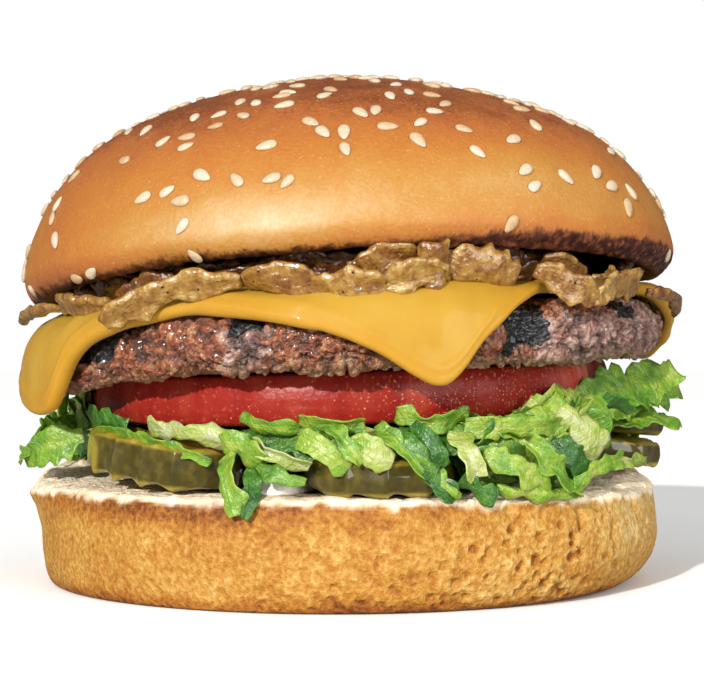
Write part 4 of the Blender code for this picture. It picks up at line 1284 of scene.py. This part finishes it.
# %% Scatter the seeds
DOME_MIDDLE = Vector((0.0, 0.0, 45.0))
SPIRAL_SEEDS = 420  # places tried; those in front or too low are left out
LOWEST_SEED, FACING_FRONT = 52.0, -0.25
FRONT_SEEDS = (
    # direction and elevation in degrees, from the middle of the dome, of the seeds on the front
    (192, 11), (191, 8), (197, 5), (194, 19), (208, 16), (208, 19), (213, 12), (196, 25),
    (208, 24), (194, 22), (197, 29), (203, 32), (225, 26), (222, 34), (214, 35), (233, 29),
    (235, 36), (238, 30), (240, 27), (241, 36), (243, 32), (246, 21), (235, 18), (240, 19),
    (243, 17), (244, 13), (245, 9), (219, 6), (224, 7), (315, 43), (313, 39), (310, 33),
    (300, 28), (300, 22), (301, 19), (308, 21), (317, 23), (320, 21), (327, 20), (323, 17),
    (332, 29), (342, 30), (341, 33), (339, 36), (338, 37), (335, 41), (330, 45), (295, 13),
    (346, 22), (347, 20), (343, 11), (256, 26), (252, 20), (258, 20), (260, 19), (269, 25),
    (263, 32), (265, 29), (269, 29), (272, 34), (275, 35), (277, 30), (283, 31), (282, 27),
    (287, 35), (291, 38), (291, 30), (292, 25), (285, 44), (279, 41), (283, 49), (290, 43),
    (297, 52), (264, 41), (265, 45), (256, 38), (254, 42), (254, 44), (254, 50), (248, 40),
    (248, 35), (243, 41), (243, 52), (278, 52), (267, 55),
)


def seeds():
    draw = np.random.default_rng(17)
    count = SPIRAL_SEEDS
    number = np.arange(count) + 0.5
    radius = np.clip(55.9 * (number / count) ** 0.6 + draw.normal(0.0, 1.3, count), 0.5, 56.4)
    angle = number * math.pi * (3.0 - math.sqrt(5.0)) + draw.normal(0.0, 0.05, count)
    down = Vector((0.0, 0.0, -1.0))
    sights = [(Vector(on_stack(math.degrees(a), r, 120.0)), down) for r, a in zip(radius, angle)]
    for direction, elevation in FRONT_SEEDS:
        rise = math.radians(elevation + draw.uniform(-0.4, 0.4))
        way = Vector(on_stack(direction + draw.uniform(-0.4, 0.4), math.cos(rise), math.sin(rise)))
        sights.append((DOME_MIDDLE + 90.0 * way, -way))
    tree = solid_tree(crown)
    places, normals = [], []
    for start, way in sights:
        hit, normal, _, _ = tree.ray_cast(start, way)
        listed = way is not down
        if hit is not None and (listed or (hit.z > LOWEST_SEED and normal.y > FACING_FRONT)):
            places.append(hit + 0.15 * normal)
            normals.append(normal)
    count = len(places)
    tones = draw.uniform(0.0, 1.0, count)
    f = Finish("sesame", Subsurface_Weight=0.2, Subsurface_Scale=0.001, Coat_Weight=0.15)
    colour = f.ramp(f.mark("tone") * 0.7 + f.speckle(0.8) * 0.4,
                    [(0.1, "f3e3cb"), (0.6, "e8cfa9"), (0.95, "d6aa72")])
    rough = 0.45 + f.speckle(0.6) * 0.2
    material = f.finish(Base_Color=colour, Roughness=rough, Normal=f.bump(f.speckle(0.5), 0.1))
    group = thing_on_points("sesame seeds", seed_body)
    scales = draw.uniform(0.85, 1.12, count)
    spins = draw.uniform(0.0, TURN, count)
    marks = {"tone": tones}
    made = grown("sesame_seeds", group, places, normals, spins, scales, SEED_SIZE, material, marks)
    print(count, "seeds")
    return finished(made, material, "top_bun")


seeds()

# %% [markdown]
# ## Strips that follow a path
#
# Lettuce shreds and browned onions are both soft strips. A strip here is a path with a width and a
# direction across it, ruffled by waves that grow towards its edges, and then given a thickness.
# Solidify would do the last step, but building both faces at once keeps the edge closed and even.


# %% Make one strip
def strip(line, across, thickness, ruffle, seed, fold=5.5, ragged=0.0, curl=0.0, grid=(26, 8),
          tip=0.45):
    """A closed leaf along a line. line and across are arrays of a few points, filled in smoothly,
    and tip is the width of its ends as a share of the middle. Returns corners, faces, and for each
    corner its share across the strip and along it."""
    lengths, widths = grid
    steps = np.linspace(0.0, len(line) - 1.0, lengths)
    index = np.clip(steps.astype(int), 0, len(line) - 2)
    share = (steps - index)[:, None]

    def along(values):
        before = values[np.clip(index - 1, 0, len(values) - 1)]
        here, there = values[index], values[index + 1]
        after = values[np.clip(index + 2, 0, len(values) - 1)]
        return 0.5 * (
            2.0 * here + (there - before) * share
            + (2.0 * before - 5.0 * here + 4.0 * there - after) * share**2
            + (3.0 * here - 3.0 * there + after - before) * share**3
        )

    middle, side = along(np.asarray(line, float)), along(np.asarray(across, float))
    ahead = np.gradient(middle, axis=0)
    up = unit(np.cross(ahead, side))
    width = np.linspace(-1.0, 1.0, widths)
    ends = np.minimum(1.0, tip + 2.2 * np.minimum(steps, steps[::-1]) / steps[-1])[:, None, None]
    sides = np.sign(width)[None, :, None] * side[:, None]
    torn = 1.0 + ragged * waves(middle[:, None] + sides, 2.2, seed + 50, 2)[..., None]
    sheet = middle[:, None] + side[:, None] * width[None, :, None] * ends * torn
    wobble = waves(sheet, fold, seed, 2) * (0.45 + np.abs(width)[None, :] ** 2) * ruffle
    wobble = wobble + curl * width[None, :] ** 2
    sheet = sheet + up[:, None] * wobble[..., None]
    normal = unit(np.cross(np.gradient(sheet, axis=0), np.gradient(sheet, axis=1)))
    rim = np.ones((lengths, widths))
    rim[[0, -1]] = rim[:, [0, -1]] = 0.35
    half = 0.5 * thickness * rim[..., None]
    corners = np.concatenate([(sheet + normal * half).reshape(-1, 3),
                              (sheet - normal * half).reshape(-1, 3)])
    here = np.arange(lengths * widths).reshape(lengths, widths)
    quads = np.stack([here[:-1, :-1], here[1:, :-1], here[1:, 1:], here[:-1, 1:]], -1)
    quads = quads.reshape(-1, 4)
    under = quads[:, ::-1] + lengths * widths
    loop = np.concatenate([here[0, :-1], here[:-1, -1], here[-1, :0:-1], here[:0:-1, 0]])
    after = np.roll(loop, -1)
    edge = np.stack([loop, after, after + lengths * widths, loop + lengths * widths], -1)
    shares = {
        "rib": np.tile(np.broadcast_to(np.abs(width), (lengths, widths)).ravel(), 2),
        "run": np.tile(np.broadcast_to(steps[:, None], (lengths, widths)).ravel(), 2),
    }
    return corners, np.concatenate([quads, under, edge]), shares


def joined(name, strips):
    """One mesh from many strips, each with its marks."""
    corners, faces, marks, count = [], [], {}, 0
    for points, polygons, facts in strips:
        corners.append(points)
        faces += (np.asarray(polygons) + count).tolist()
        count += len(points)
        for mark, value in facts.items():
            marks.setdefault(mark, []).append(np.broadcast_to(value, (len(points),)))
    marks = {mark: np.concatenate(values) for mark, values in marks.items()}
    made = plain_mesh(name, np.concatenate(corners), faces, marks)
    bm = bmesh.new()
    bm.from_mesh(made.data)
    bmesh.ops.recalc_face_normals(bm, faces=bm.faces)
    bm.to_mesh(made.data)
    bm.free()
    return made


def in_triangles(points):
    """Corners and faces of a closed skin, with every face cut in triangles."""
    corners, faces, _ = wrapped(points)
    halves = []
    for face in faces:
        halves += [face] if len(face) == 3 else [face[:3], [face[0], *face[2:]]]
    return corners, halves


def outside(tree, point, clear):
    """How far a point is outside a closed piece, less the clearance."""
    hit, normal, _, distance = tree.find_nearest(Vector(point))
    away = distance if (Vector(point) - hit).dot(normal) > 0.0 else -distance
    return away - clear


def ways(line):
    """The way ahead at each place of a line, and the way out from the axis."""
    return unit(np.gradient(line, axis=0)), unit(line * (1.0, 1.0, 0.0))


def curve(points):
    """Five places along a curve through three, each given as direction, radius and height, the
    way ahead at each, and the way out from the axis."""
    line = []
    for t in np.linspace(0.0, 1.0, 5):
        shares = np.array([2.0 * (t - 0.5) * (t - 1.0), 4.0 * t * (1.0 - t), 2.0 * t * (t - 0.5)])
        line.append(on_stack(*(shares @ np.array(points, float))))
    line = np.array(line)
    return (line, *ways(line))


# %% [markdown]
# ## The lettuce
#
# The lettuce is shredded iceberg, heaped loosely: lime-green strips with pale ribs, some curled,
# lying every way. Under the tomato it is squeezed flat. A heap like this isn't one surface, so it
# is built from the real things, a few hundred strips laid round the rim, over a crumpled middle
# that stops the light and is painted dark green, as painted shade. Some strips are dark green as
# well, partly a darker leaf and partly painted shade. The leaves that catch the eye at the front
# and the sides are listed, and are laid as they are. The rest are tried at random, and each is kept
# only where it runs into none of the other layers and hangs before nothing that should be seen.

# %% The squeezed middle of the heap
LETTUCE_GAPS = ((255.0, 4.5), (317.0, 7.2), (30.0, 5.4), (91.0, 4.5), (168.0, 10.8))


def pressed(angle):
    return np.minimum(1.0, near(angle, 2.0, 25.0) + near(angle, 206.0, 25.0))


def heap_middle():
    angle = around("middle of the lettuce")
    brim = 44.0 - 16.5 * pressed(angle)
    gaps = np.max([near(angle, at, width) for at, width in LETTUCE_GAPS], axis=0)
    gaps = np.where(pressed(angle) < 0.3, gaps, 0.0)
    top = on_plane(TOMATO_BOTTOM, brim, angle) - 0.25
    low = top - 2.3 + 1.3 * pressed(angle) - 4.2 * gaps
    rim_radius, _ = heel_rim(angle)
    floor = crumb_height(rim_radius - 17.0, angle) + 1.6
    pairs = [(0.5, 20.1), (17.0, floor), (17.6, 26.7), (0.5 * (17.0 + brim), 26.5 - 3.0 * gaps)]
    pairs += [(brim - 1.2, low), (brim, 0.5 * (low + top)), (brim - 1.0, top)]
    pairs += [(0.5, TOMATO_BOTTOM[0] - 0.25)]
    points = turned(eased(fine(stacked(*pairs), [2.0, 1.0, 1.0, 1.0, 0.5, 0.5, 2.0]), 3), angle)
    crumple = 0.45 * waves(points * (1.0, 1.0, 2.0), 3.5, 131, 2) - 0.3
    return in_triangles(points + outward(points) * crumple[..., None])


# %% Lay the shreds
SHREDS, SHREDS_WHEN_QUICK, MOST_TRIES = 420, 70, 9000
STEM_SHARE = 0.14  # of the random shreds, how many are thick pale ribs
LEAVES = (
    # three places (direction, radius, height), width, how far it is turned about its own length
    # from facing outwards, how pale it is, and how dark, partly a darker leaf and partly painted
    # shade
    ((-40.0, 46.6, 30.4), (-22.0, 50.5, 33.4), (-3.0, 58.0, 33.0), 7.0, -25.0, 0.25, 0.2),
    ((-36.0, 46.0, 29.0), (-20.0, 51.0, 31.5), (-8.0, 57.0, 36.0), 4.5, -40.0, 0.4, 0.4),
    ((-33.0, 44.0, 27.4), (-22.0, 51.0, 27.5), (-13.0, 57.0, 28.5), 4.5, -60.0, 0.3, 0.5),
    ((195.0, 57.0, 21.5), (202.0, 54.0, 23.6), (207.0, 49.0, 25.2), 4.4, 20.0, 0.3, 0.1),
    ((195.0, 57.4, 20.6), (201.0, 55.0, 24.8), (203.0, 52.0, 28.0), 1.4, 10.0, 0.2, 0.1),
    ((186.0, 47.0, 26.0), (190.0, 52.0, 26.0), (195.0, 55.0, 22.5), 4.0, 30.0, 0.3, 0.5),
    ((211.1, 49.0, 26.4), (229.0, 50.0, 25.6), (245.9, 50.8, 22.6), 2.2, 15.0, 0.3, 0.1),
    ((205.0, 47.0, 27.4), (214.0, 49.0, 28.2), (224.0, 49.0, 27.0), 3.4, 20.0, 0.1, 0.8),
    ((227.8, 47.0, 27.4), (239.0, 49.4, 26.8), (250.6, 50.0, 25.2), 2.7, 15.0, 0.95, 0.0),
    ((247.7, 51.0, 25.3), (252.1, 52.5, 24.5), (255.4, 52.0, 22.7), 3.6, 15.0, 0.35, 0.0),
    ((253.8, 50.5, 25.0), (258.8, 52.0, 23.6), (263.4, 51.5, 21.9), 2.6, 10.0, 0.9, 0.0),
    ((254.7, 52.0, 22.1), (259.2, 53.6, 20.8), (262.9, 52.5, 19.8), 2.4, -15.0, 0.15, 0.3),
    ((248.5, 51.0, 23.5), (250.8, 54.2, 19.5), (252.4, 55.4, 14.9), 3.0, 0.0, 0.4, 0.0),
    ((252.4, 50.0, 22.6), (254.4, 53.2, 18.6), (253.6, 54.8, 14.3), 2.4, -25.0, 0.0, 1.0),
    ((261.6, 51.0, 26.6), (266.0, 53.0, 24.6), (270.0, 52.5, 21.9), 3.0, 10.0, 0.5, 0.0),
    ((266.6, 50.0, 28.4), (269.4, 53.0, 25.5), (271.9, 53.0, 22.4), 3.0, -15.0, 0.3, 0.2),
    ((270.3, 52.0, 25.5), (273.8, 53.6, 24.2), (277.1, 53.0, 22.9), 3.4, 5.0, 0.7, 0.0),
    ((274.8, 50.0, 28.4), (278.3, 53.4, 24.9), (281.8, 53.4, 20.7), 2.2, -20.0, 0.25, 0.1),
    ((277.7, 51.0, 27.5), (281.0, 54.0, 23.5), (284.3, 54.0, 19.0), 2.4, 10.0, 0.1, 0.7),
    ((281.1, 50.0, 28.3), (282.9, 53.0, 25.5), (285.8, 52.5, 22.1), 2.4, 15.0, 0.0, 0.9),
    ((288.9, 51.0, 27.1), (289.1, 54.4, 24.3), (290.7, 54.0, 20.6), 3.6, 10.0, 0.8, 0.0),
    ((292.3, 53.0, 24.1), (296.9, 55.0, 22.0), (304.4, 54.4, 17.8), 3.2, 5.0, 0.45, 0.0),
    ((290.5, 50.0, 28.3), (297.4, 52.5, 27.6), (309.2, 51.5, 28.0), 2.8, 20.0, 0.5, 0.1),
    ((300.6, 53.0, 24.9), (303.9, 55.0, 21.8), (310.4, 54.2, 17.6), 3.5, -10.0, 0.35, 0.0),
    ((307.2, 51.5, 25.6), (309.9, 53.4, 23.1), (315.6, 53.0, 20.1), 3.8, 20.0, 0.0, 1.0),
    ((310.4, 50.5, 30.4), (313.2, 52.4, 27.9), (319.4, 52.5, 23.4), 4.7, 5.0, 0.85, 0.0),
    ((309.7, 54.4, 17.6), (315.5, 54.6, 21.1), (324.3, 53.5, 22.3), 2.2, 0.0, 0.4, 0.0),
    ((318.1, 54.0, 21.9), (324.7, 54.0, 21.6), (338.0, 53.0, 21.6), 1.5, 0.0, 0.7, 0.0),
    ((281.7, 54.0, 21.1), (284.5, 54.4, 19.3), (286.9, 54.0, 17.1), 2.6, 0.0, 0.05, 0.9),
    ((284.4, 53.6, 21.6), (285.3, 54.8, 19.3), (287.8, 54.4, 17.6), 1.2, 0.0, 0.5, 0.0),
    ((288.0, 53.8, 20.4), (290.6, 54.2, 18.8), (293.9, 54.0, 17.2), 3.0, 10.0, 0.05, 0.8),
    ((294.2, 54.0, 19.1), (300.8, 54.8, 17.9), (311.2, 54.0, 17.2), 2.0, -10.0, 0.45, 0.0),
    ((278.2, 48.5, 30.0), (283.7, 50.5, 28.7), (291.8, 49.0, 29.8), 2.7, 25.0, 0.3, 0.3),
    ((261.2, 49.0, 29.0), (266.6, 50.5, 28.4), (272.6, 49.0, 28.8), 2.4, 25.0, 0.45, 0.2),
    ((250.1, 49.0, 28.6), (256.4, 51.0, 27.8), (261.4, 50.0, 27.4), 2.7, 20.0, 0.3, 0.3),
)
CLEARINGS = (
    # from, to in degrees; from, to in height; and how far out the lettuce may come there
    (209.0, 247.5, 10.0, 25.6, 45.0),
    (246.0, 262.5, 10.0, 20.5, 46.0),
    (262.0, 282.0, 10.0, 21.8, 46.0),
    (323.0, 352.0, 10.0, 28.5, 44.0),
    (174.0, 211.0, 10.0, 40.0, 49.0),
    (200.0, 286.0, 28.4, 40.0, 43.5),
    (286.0, 304.0, 30.0, 40.0, 43.5),
)


def facing_out(ahead, out, roll):
    """The way across a strip that faces outwards and is then rolled about its own length."""
    across = unit(np.cross(out, ahead))
    return across * np.cos(roll)[:, None] + np.cross(ahead, across) * np.sin(roll)[:, None]


def shred_path(draw, direction):
    """A path for one shred: somewhere in the band that shows, running mostly round the heap."""
    reach = 10.5 if 214.0 < direction < 322.0 else 14.0
    radius = 40.5 + reach * draw.uniform(0.0, 1.0) ** 0.7
    height = draw.uniform(18.5, 31.5)
    heading = draw.uniform(-1.3, 1.3)
    length = draw.uniform(8.0, 19.0)
    bend = draw.uniform(-0.3, 0.3)
    line = []
    for t in np.linspace(-0.5, 0.5, 5):
        round_it = math.degrees(length * t * math.cos(heading) / radius)
        rise = length * t * math.sin(heading) * 0.8 + bend * length * (4.0 * t * t - 0.5) * 0.5
        out = draw.uniform(-0.5, 0.5) - 1.8 * (2.0 * t) ** 2 * draw.uniform(-0.4, 1.0)
        line.append(on_stack(direction + round_it, radius + out, height + rise))
    line = np.array(line)
    ahead, out = ways(line)
    roll = draw.uniform(-0.75, 0.75) + np.linspace(0.0, draw.uniform(-0.6, 0.6), 5)
    return line, facing_out(ahead, out, roll) * (0.5 * draw.uniform(3.0, 7.4))


def in_clearing(corners):
    """True where a strip would hang before a pickle or the mayonnaise that is seen."""
    angle = np.degrees(np.arctan2(corners[:, 1], corners[:, 0])) % 360.0
    radius, height = np.hypot(corners[:, 0], corners[:, 1]), corners[:, 2]
    for start, stop, low, high, out in CLEARINGS:
        inside = (angle > start) & (angle < stop) & (height > low) & (height < high)
        if np.any(inside & (radius > out)):
            return True
    return False


def fits(corners, trees, clear):
    """True where a sample of the corners stays outside every neighbour."""
    if in_clearing(corners):
        return False
    sample = corners[:: max(1, len(corners) // 40)]
    return all(outside(tree, point, clear) > 0.0 for tree in trees for point in sample)


def shreds(neighbours, box):
    draw = np.random.default_rng(23)
    low, high = box
    # The crumpled middle is painted dark green, as painted shade.
    strips = [(*heap_middle(), {"pale": 0.25, "deep": 1.0, "rib": 0.5, "run": 0.0})]
    for number, (*points, width, turn, pale, deep) in enumerate(LEAVES):
        line, ahead, out = curve(points)
        roll = math.radians(turn) + np.linspace(-0.2, 0.2, 5) * draw.uniform(-1.0, 1.0)
        corners, faces, shares = strip(
            line, facing_out(ahead, out, roll) * (0.56 * width), 0.34, 1.05, 200 + number, 4.2, 0.5,
            draw.uniform(-0.7, 0.7), (30, 9), draw.uniform(0.35, 0.9),
        )
        strips.append((corners, faces, {"pale": pale, "deep": deep, **shares}))
    wanted, tries = SHREDS, 0
    while len(strips) < wanted and tries < MOST_TRIES:
        tries += 1
        direction = golden_direction(tries)
        if tries % 2 == 0:
            direction = 272.0 + 80.0 * draw.uniform(-1.0, 1.0)
        line, across = shred_path(draw, direction)
        if np.any(line < low + 0.6) or np.any(line > high - 0.6):
            continue
        stem = draw.uniform() < STEM_SHARE
        thickness = draw.uniform(1.0, 1.7) if stem else draw.uniform(0.3, 0.5)
        corners, faces, shares = strip(
            line, across * (0.55 if stem else 1.0), thickness,
            0.25 if stem else draw.uniform(0.7, 1.2), 300 + tries, draw.uniform(3.0, 5.0),
            0.1 if stem else 0.5, draw.uniform(-0.8, 0.8), (14, 6), draw.uniform(0.35, 0.9),
        )
        if not (np.all(corners > low) and np.all(corners < high)):
            continue
        if fits(corners, neighbours, 0.05):
            pale = draw.uniform(0.75, 1.0) if stem else draw.uniform(0.0, 0.75)
            strips.append((corners, faces, {"pale": pale, "deep": draw.uniform() ** 2.0, **shares}))
    print(len(strips), "shreds after", tries, "tries")
    return joined("lettuce_shreds", strips)


# %% Lettuce leaf
def lettuce_finish():
    f = Finish("lettuce", Subsurface_Weight=0.3, Subsurface_Scale=0.001, Specular_IOR_Level=0.6,
               Subsurface_Radius=(0.6, 1.0, 0.2))
    cloud, patch = f.speckle(3.6, 3.0), f.speckle(1.4, 3.0)
    rib = f.rising(f.mark("rib"), 0.3, 0.0)
    streaks = (f.mark("rib") * 16.0 + cloud * 9.0).wave()
    slant = f.mark("run") * 11.0 + f.mark("rib") * 5.0 + patch * 3.0
    side_veins = f.rising(slant.wave(), 0.8, 1.0)
    pale = f.mark("pale") * 0.85 + (cloud - 0.5) * 1.1 + (patch - 0.5) * 0.5 + rib * 0.15
    pale = pale + streaks * 0.02
    leaf = f.ramp(pale, [(0.0, "5d9422"), (0.25, "86b830"), (0.5, "b0cc40"), (0.8, "d3dd80"),
                         (1.0, "e6ebb8")], 0.52)
    # Dark green: partly a darker leaf and partly painted shade on leaves that lie in shadow.
    deep = f.ramp(cloud + (patch - 0.5) * 0.5, [(0.3, "245c14"), (0.55, "428424"), (0.8, "7cae38")])
    colour = f.mixed(f.rising(f.mark("deep") + (cloud - 0.5) * 0.9, 0.4, 0.9), leaf, deep)
    colour = f.mixed(side_veins * 0.1, colour, "e6eebc")
    rough = 0.26 + f.speckle(1.0) * 0.22
    height = side_veins * 0.12 + streaks * 0.03 + f.speckle(1.3, 4.0) + patch * 0.6
    return f.finish(Base_Color=colour, Roughness=rough, Normal=f.bump(height, 0.6, 0.9))


by_name = {o.name: o for o in bpy.data.objects}
lettuce_neighbours = [
    solid_tree(by_name[name])
    for name in ("bottom_bun_bread", "tomato_slice", "patty_beef", "cheese_slice")
    + tuple(f"{facts[0]}_slice" for facts in PICKLES)
]
lettuce_box = [np.array(corner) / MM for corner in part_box("lettuce")]
lettuce_box[1][2] = max(lettuce_box[1][2], 34.0)
finished(shreds(lettuce_neighbours, lettuce_box), lettuce_finish(), "lettuce", "lettuce")

# %% [markdown]
# ## The onions
#
# Slow-browned onions are limp, wet and see-through, the colour of amber, with a few black specks of
# pepper. They lie in the gap between the cheese and the top bun and hang over the edge of the
# cheese. They are strips as well, thicker and shorter than the lettuce. The ones at the front are
# listed, and the rest find the floor below them. The pieces that lie deeper in the gap are painted
# darker, as painted shade. A crumpled disc fills the gap behind them, painted dark as painted
# shade.

# %% Lay the onions
ONIONS_TRIED = 64  # places tried besides the listed pieces
ONION_CEILING, LOWEST_ONION_FLOOR = 52.9, 42.0
ONION_PIECES = (
    # three places (direction, radius, height), width, lean outwards in degrees, and tone from dark
    # to pale amber; the last two pieces lie deeper in the gap, and their dark tone is painted shade
    ((189.5, 57.0, 44.4), (199.0, 56.0, 45.7), (209.5, 53.0, 46.6), 1.7, 60.0, 0.7),
    ((207.0, 53.0, 46.6), (217.0, 54.5, 47.0), (226.0, 53.0, 46.9), 3.3, 35.0, 0.65),
    ((225.0, 51.5, 47.6), (231.0, 51.5, 49.0), (238.0, 50.5, 50.1), 3.6, 20.0, 0.4),
    ((230.5, 58.6, 43.2), (239.0, 56.6, 47.4), (252.5, 53.5, 49.9), 4.4, 28.0, 0.8),
    ((253.0, 53.6, 49.4), (259.0, 54.6, 49.7), (265.5, 53.6, 49.4), 4.3, 30.0, 0.6),
    ((263.5, 53.4, 48.6), (270.0, 55.0, 48.7), (276.5, 54.0, 49.0), 5.2, 25.0, 0.75),
    ((270.0, 52.8, 51.4), (275.5, 54.0, 52.9), (281.5, 53.0, 53.7), 3.7, 30.0, 0.6),
    ((275.5, 54.0, 49.0), (280.0, 55.2, 50.4), (285.0, 53.6, 51.0), 4.6, 25.0, 0.8),
    ((281.0, 54.0, 50.0), (284.5, 54.6, 52.3), (286.0, 52.0, 54.6), 6.0, 15.0, 0.55),
    ((285.5, 53.0, 53.0), (292.0, 54.4, 51.6), (298.0, 53.4, 50.2), 5.4, 25.0, 0.7),
    ((301.0, 54.5, 51.6), (307.0, 56.4, 49.2), (311.5, 56.8, 46.8), 4.0, 20.0, 0.65),
    ((311.0, 56.8, 47.0), (315.0, 56.4, 49.4), (320.0, 54.0, 52.2), 3.2, 10.0, 0.9),
    ((305.0, 51.5, 53.2), (310.0, 52.0, 52.6), (315.0, 51.5, 51.2), 3.8, 30.0, 0.5),
    ((315.0, 53.0, 50.4), (323.0, 54.6, 50.3), (332.0, 53.0, 49.4), 4.2, 25.0, 0.7),
    ((333.0, 54.5, 49.0), (342.0, 57.0, 48.2), (350.0, 56.5, 45.8), 1.9, 40.0, 0.5),
    ((255.0, 48.5, 52.0), (261.0, 49.5, 52.6), (267.0, 48.5, 53.0), 3.0, 40.0, 0.1),
    ((289.0, 48.5, 54.4), (296.0, 49.5, 54.3), (303.0, 48.5, 53.2), 3.4, 40.0, 0.15),
)


def onion_floor(place, floors):
    """The height of what lies below a place, or None."""
    high = Vector((place[0], place[1], ONION_CEILING))
    hits = [tree.ray_cast(high, Vector((0.0, 0.0, -1.0)))[0] for tree in floors]
    low = max((hit.z for hit in hits if hit), default=None)
    return low if low is not None and low > LOWEST_ONION_FLOOR else None


def onion(facts, seed, draw):
    *points, width, lean, _ = facts
    line, ahead, out = curve(points)
    turn = math.radians(lean) + np.linspace(-0.25, 0.25, 5)[:, None] * draw.uniform(-1.0, 1.0)
    across = np.cos(turn) * np.array((0.0, 0.0, 1.0)) + np.sin(turn) * out
    across = across - ahead * np.sum(across * ahead, -1, keepdims=True)
    across = unit(across)
    return strip(line, across * (0.55 * width), draw.uniform(0.9, 1.4), 0.75, seed, 3.4, 0.4,
                 draw.uniform(-0.5, 0.5), (32, 12))


def onion_core():
    angle = around("middle of the onions")
    radii = (0.5, 25.0, 38.0, 42.0)
    low = [cheese_seat(r, angle) + CHEESE_THICKNESS + 0.1 for r in radii]
    high = [crown_under(r, angle) - 0.2 for r in radii]
    pairs = list(zip(radii, low))
    pairs += [(42.8, 0.5 * (low[3] + high[3])), (42.0, high[3]), (38.0, high[2])]
    pairs += [(25.0, high[1]), (0.5, high[0])]
    spacings = [3.0, 1.5, 0.6, 0.4, 0.4, 0.6, 1.5, 3.0]
    points = turned(eased(fine(stacked(*pairs), spacings), 2), angle)
    crumple = 0.5 * waves(points * (1.0, 1.0, 2.0), 4.0, 141, 2) - 0.35
    return in_triangles(points + outward(points) * crumple[..., None])


def onions():
    draw = np.random.default_rng(29)
    floors = [solid_tree(by_name["cheese_slice"]), solid_tree(by_name["patty_beef"])]
    # The disc in the gap gets the darkest tone, as painted shade.
    strips = [(*onion_core(), {"tone": -0.2, "rib": 0.5, "run": 0.0})]
    pieces = list(ONION_PIECES)
    for k in range(ONIONS_TRIED):
        direction = golden_direction(k)
        behind = not 200.0 < direction < 345.0
        out, turn = draw.uniform(48.0, 52.5 if behind else 49.0), draw.uniform(4.0, 8.0)
        low = onion_floor(on_stack(direction, out, 0.0), floors)
        if low is None:
            continue
        width = draw.uniform(3.0, 4.8)
        height = low + 0.45 * width + draw.uniform(0.0, 1.6 if behind else 0.6)
        drop = draw.uniform(-0.8, 0.8)
        # Pieces at the front lie deeper in the gap than the listed ones, so their darker tone is
        # painted shade.
        pieces.append((
            (direction - turn, out - 1.0, height - drop), (direction, out, height),
            (direction + turn, out - 1.5, height + drop), width, draw.uniform(10.0, 60.0),
            draw.uniform(0.3, 0.9) if behind else draw.uniform(0.0, 0.35),
        ))
    for k, facts in enumerate(pieces):
        corners, faces, shares = onion(facts, 400 + k, draw)
        strips.append((corners, faces, {"tone": facts[-1], **shares}))
    print(len(strips), "pieces of onion")
    return joined("browned_onions", strips)


# %% Amber onion
def onion_finish():
    f = Finish("browned onion", Subsurface_Weight=0.35, Subsurface_Scale=0.0015,
               Specular_IOR_Level=0.8, Coat_Weight=0.6, Coat_Roughness=0.04,
               Subsurface_Radius=(1.0, 0.6, 0.2))
    fibre = f.speckle(1.3, 4.0, (1.0, 1.0, 0.6))
    lines = (f.mark("rib") * 18.0 + fibre * 14.0).wave()
    tone = f.mark("tone") * 0.7 + (fibre - 0.5) * 1.0 + lines * 0.02 + f.mark("rib") * 0.12
    amber = f.ramp(tone, [(0.0, "50200e"), (0.2, "74401a"), (0.42, "9a6528"), (0.62, "ba8a3c"),
                          (0.9, "e4c074")])
    speck = f.rising(f.pits(2.1), 0.13, 0.08)
    colour = f.mixed(speck * 0.9, amber, "120b08")
    rough = 0.12 + f.speckle(0.8) * 0.22
    height = f.speckle(0.7, 3.0) * 0.6 + f.speckle(2.6, 2.0) * 1.3 + lines * 0.03
    return f.finish(Base_Color=colour, Roughness=rough, Normal=f.bump(height, 0.6, 1.0))


finished(onions(), onion_finish(), "onion", "onions")

# %% [markdown]
# ## The table
#
# The floor is a plain pale surface that catches the shadow. In reflections it is painted nearly
# black, as a painted dark reflection. It belongs to the stage and not to the burger, so it is
# marked as such.


# %% Floor
def floor():
    far = 6000
    corners = [(-far, -far, 0), (far, -far, 0), (far, far, 0), (-far, far, 0)]
    made = plain_mesh("floor", corners, [(0, 1, 2, 3)])
    f = Finish("pale table", 1.0, Specular_IOR_Level=0.0)
    shade = f.ramp(f.speckle(60.0), [(0.3, "fbfbfa"), (0.7, "fdfdfc")])
    # Painted dark reflection: in glossy rays the floor turns nearly black, as a black flag would.
    mirrored = f.node("ShaderNodeLightPath", {}, {}, "Is Glossy Ray")
    colour = f.mixed(mirrored * 0.85, shade, "000000")
    made.data.materials.append(f.finish(Base_Color=colour, Roughness=0.7 + f.speckle(9.0) * 0.1))
    made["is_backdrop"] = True


floor()

# %% [markdown]
# ## The size
#
# Both boxes, of the solids and of the dressed burger, are printed. The detail may not make the
# burger larger than its solids.

# %% Write the sizes and finish
new_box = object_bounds()
sizes = {"cad": [list(v) for v in cad_box], "visual": [list(v) for v in new_box]}
for name, box in sizes.items():
    print(name, [[round(1000.0 * v, 1) for v in corner] for corner in box])
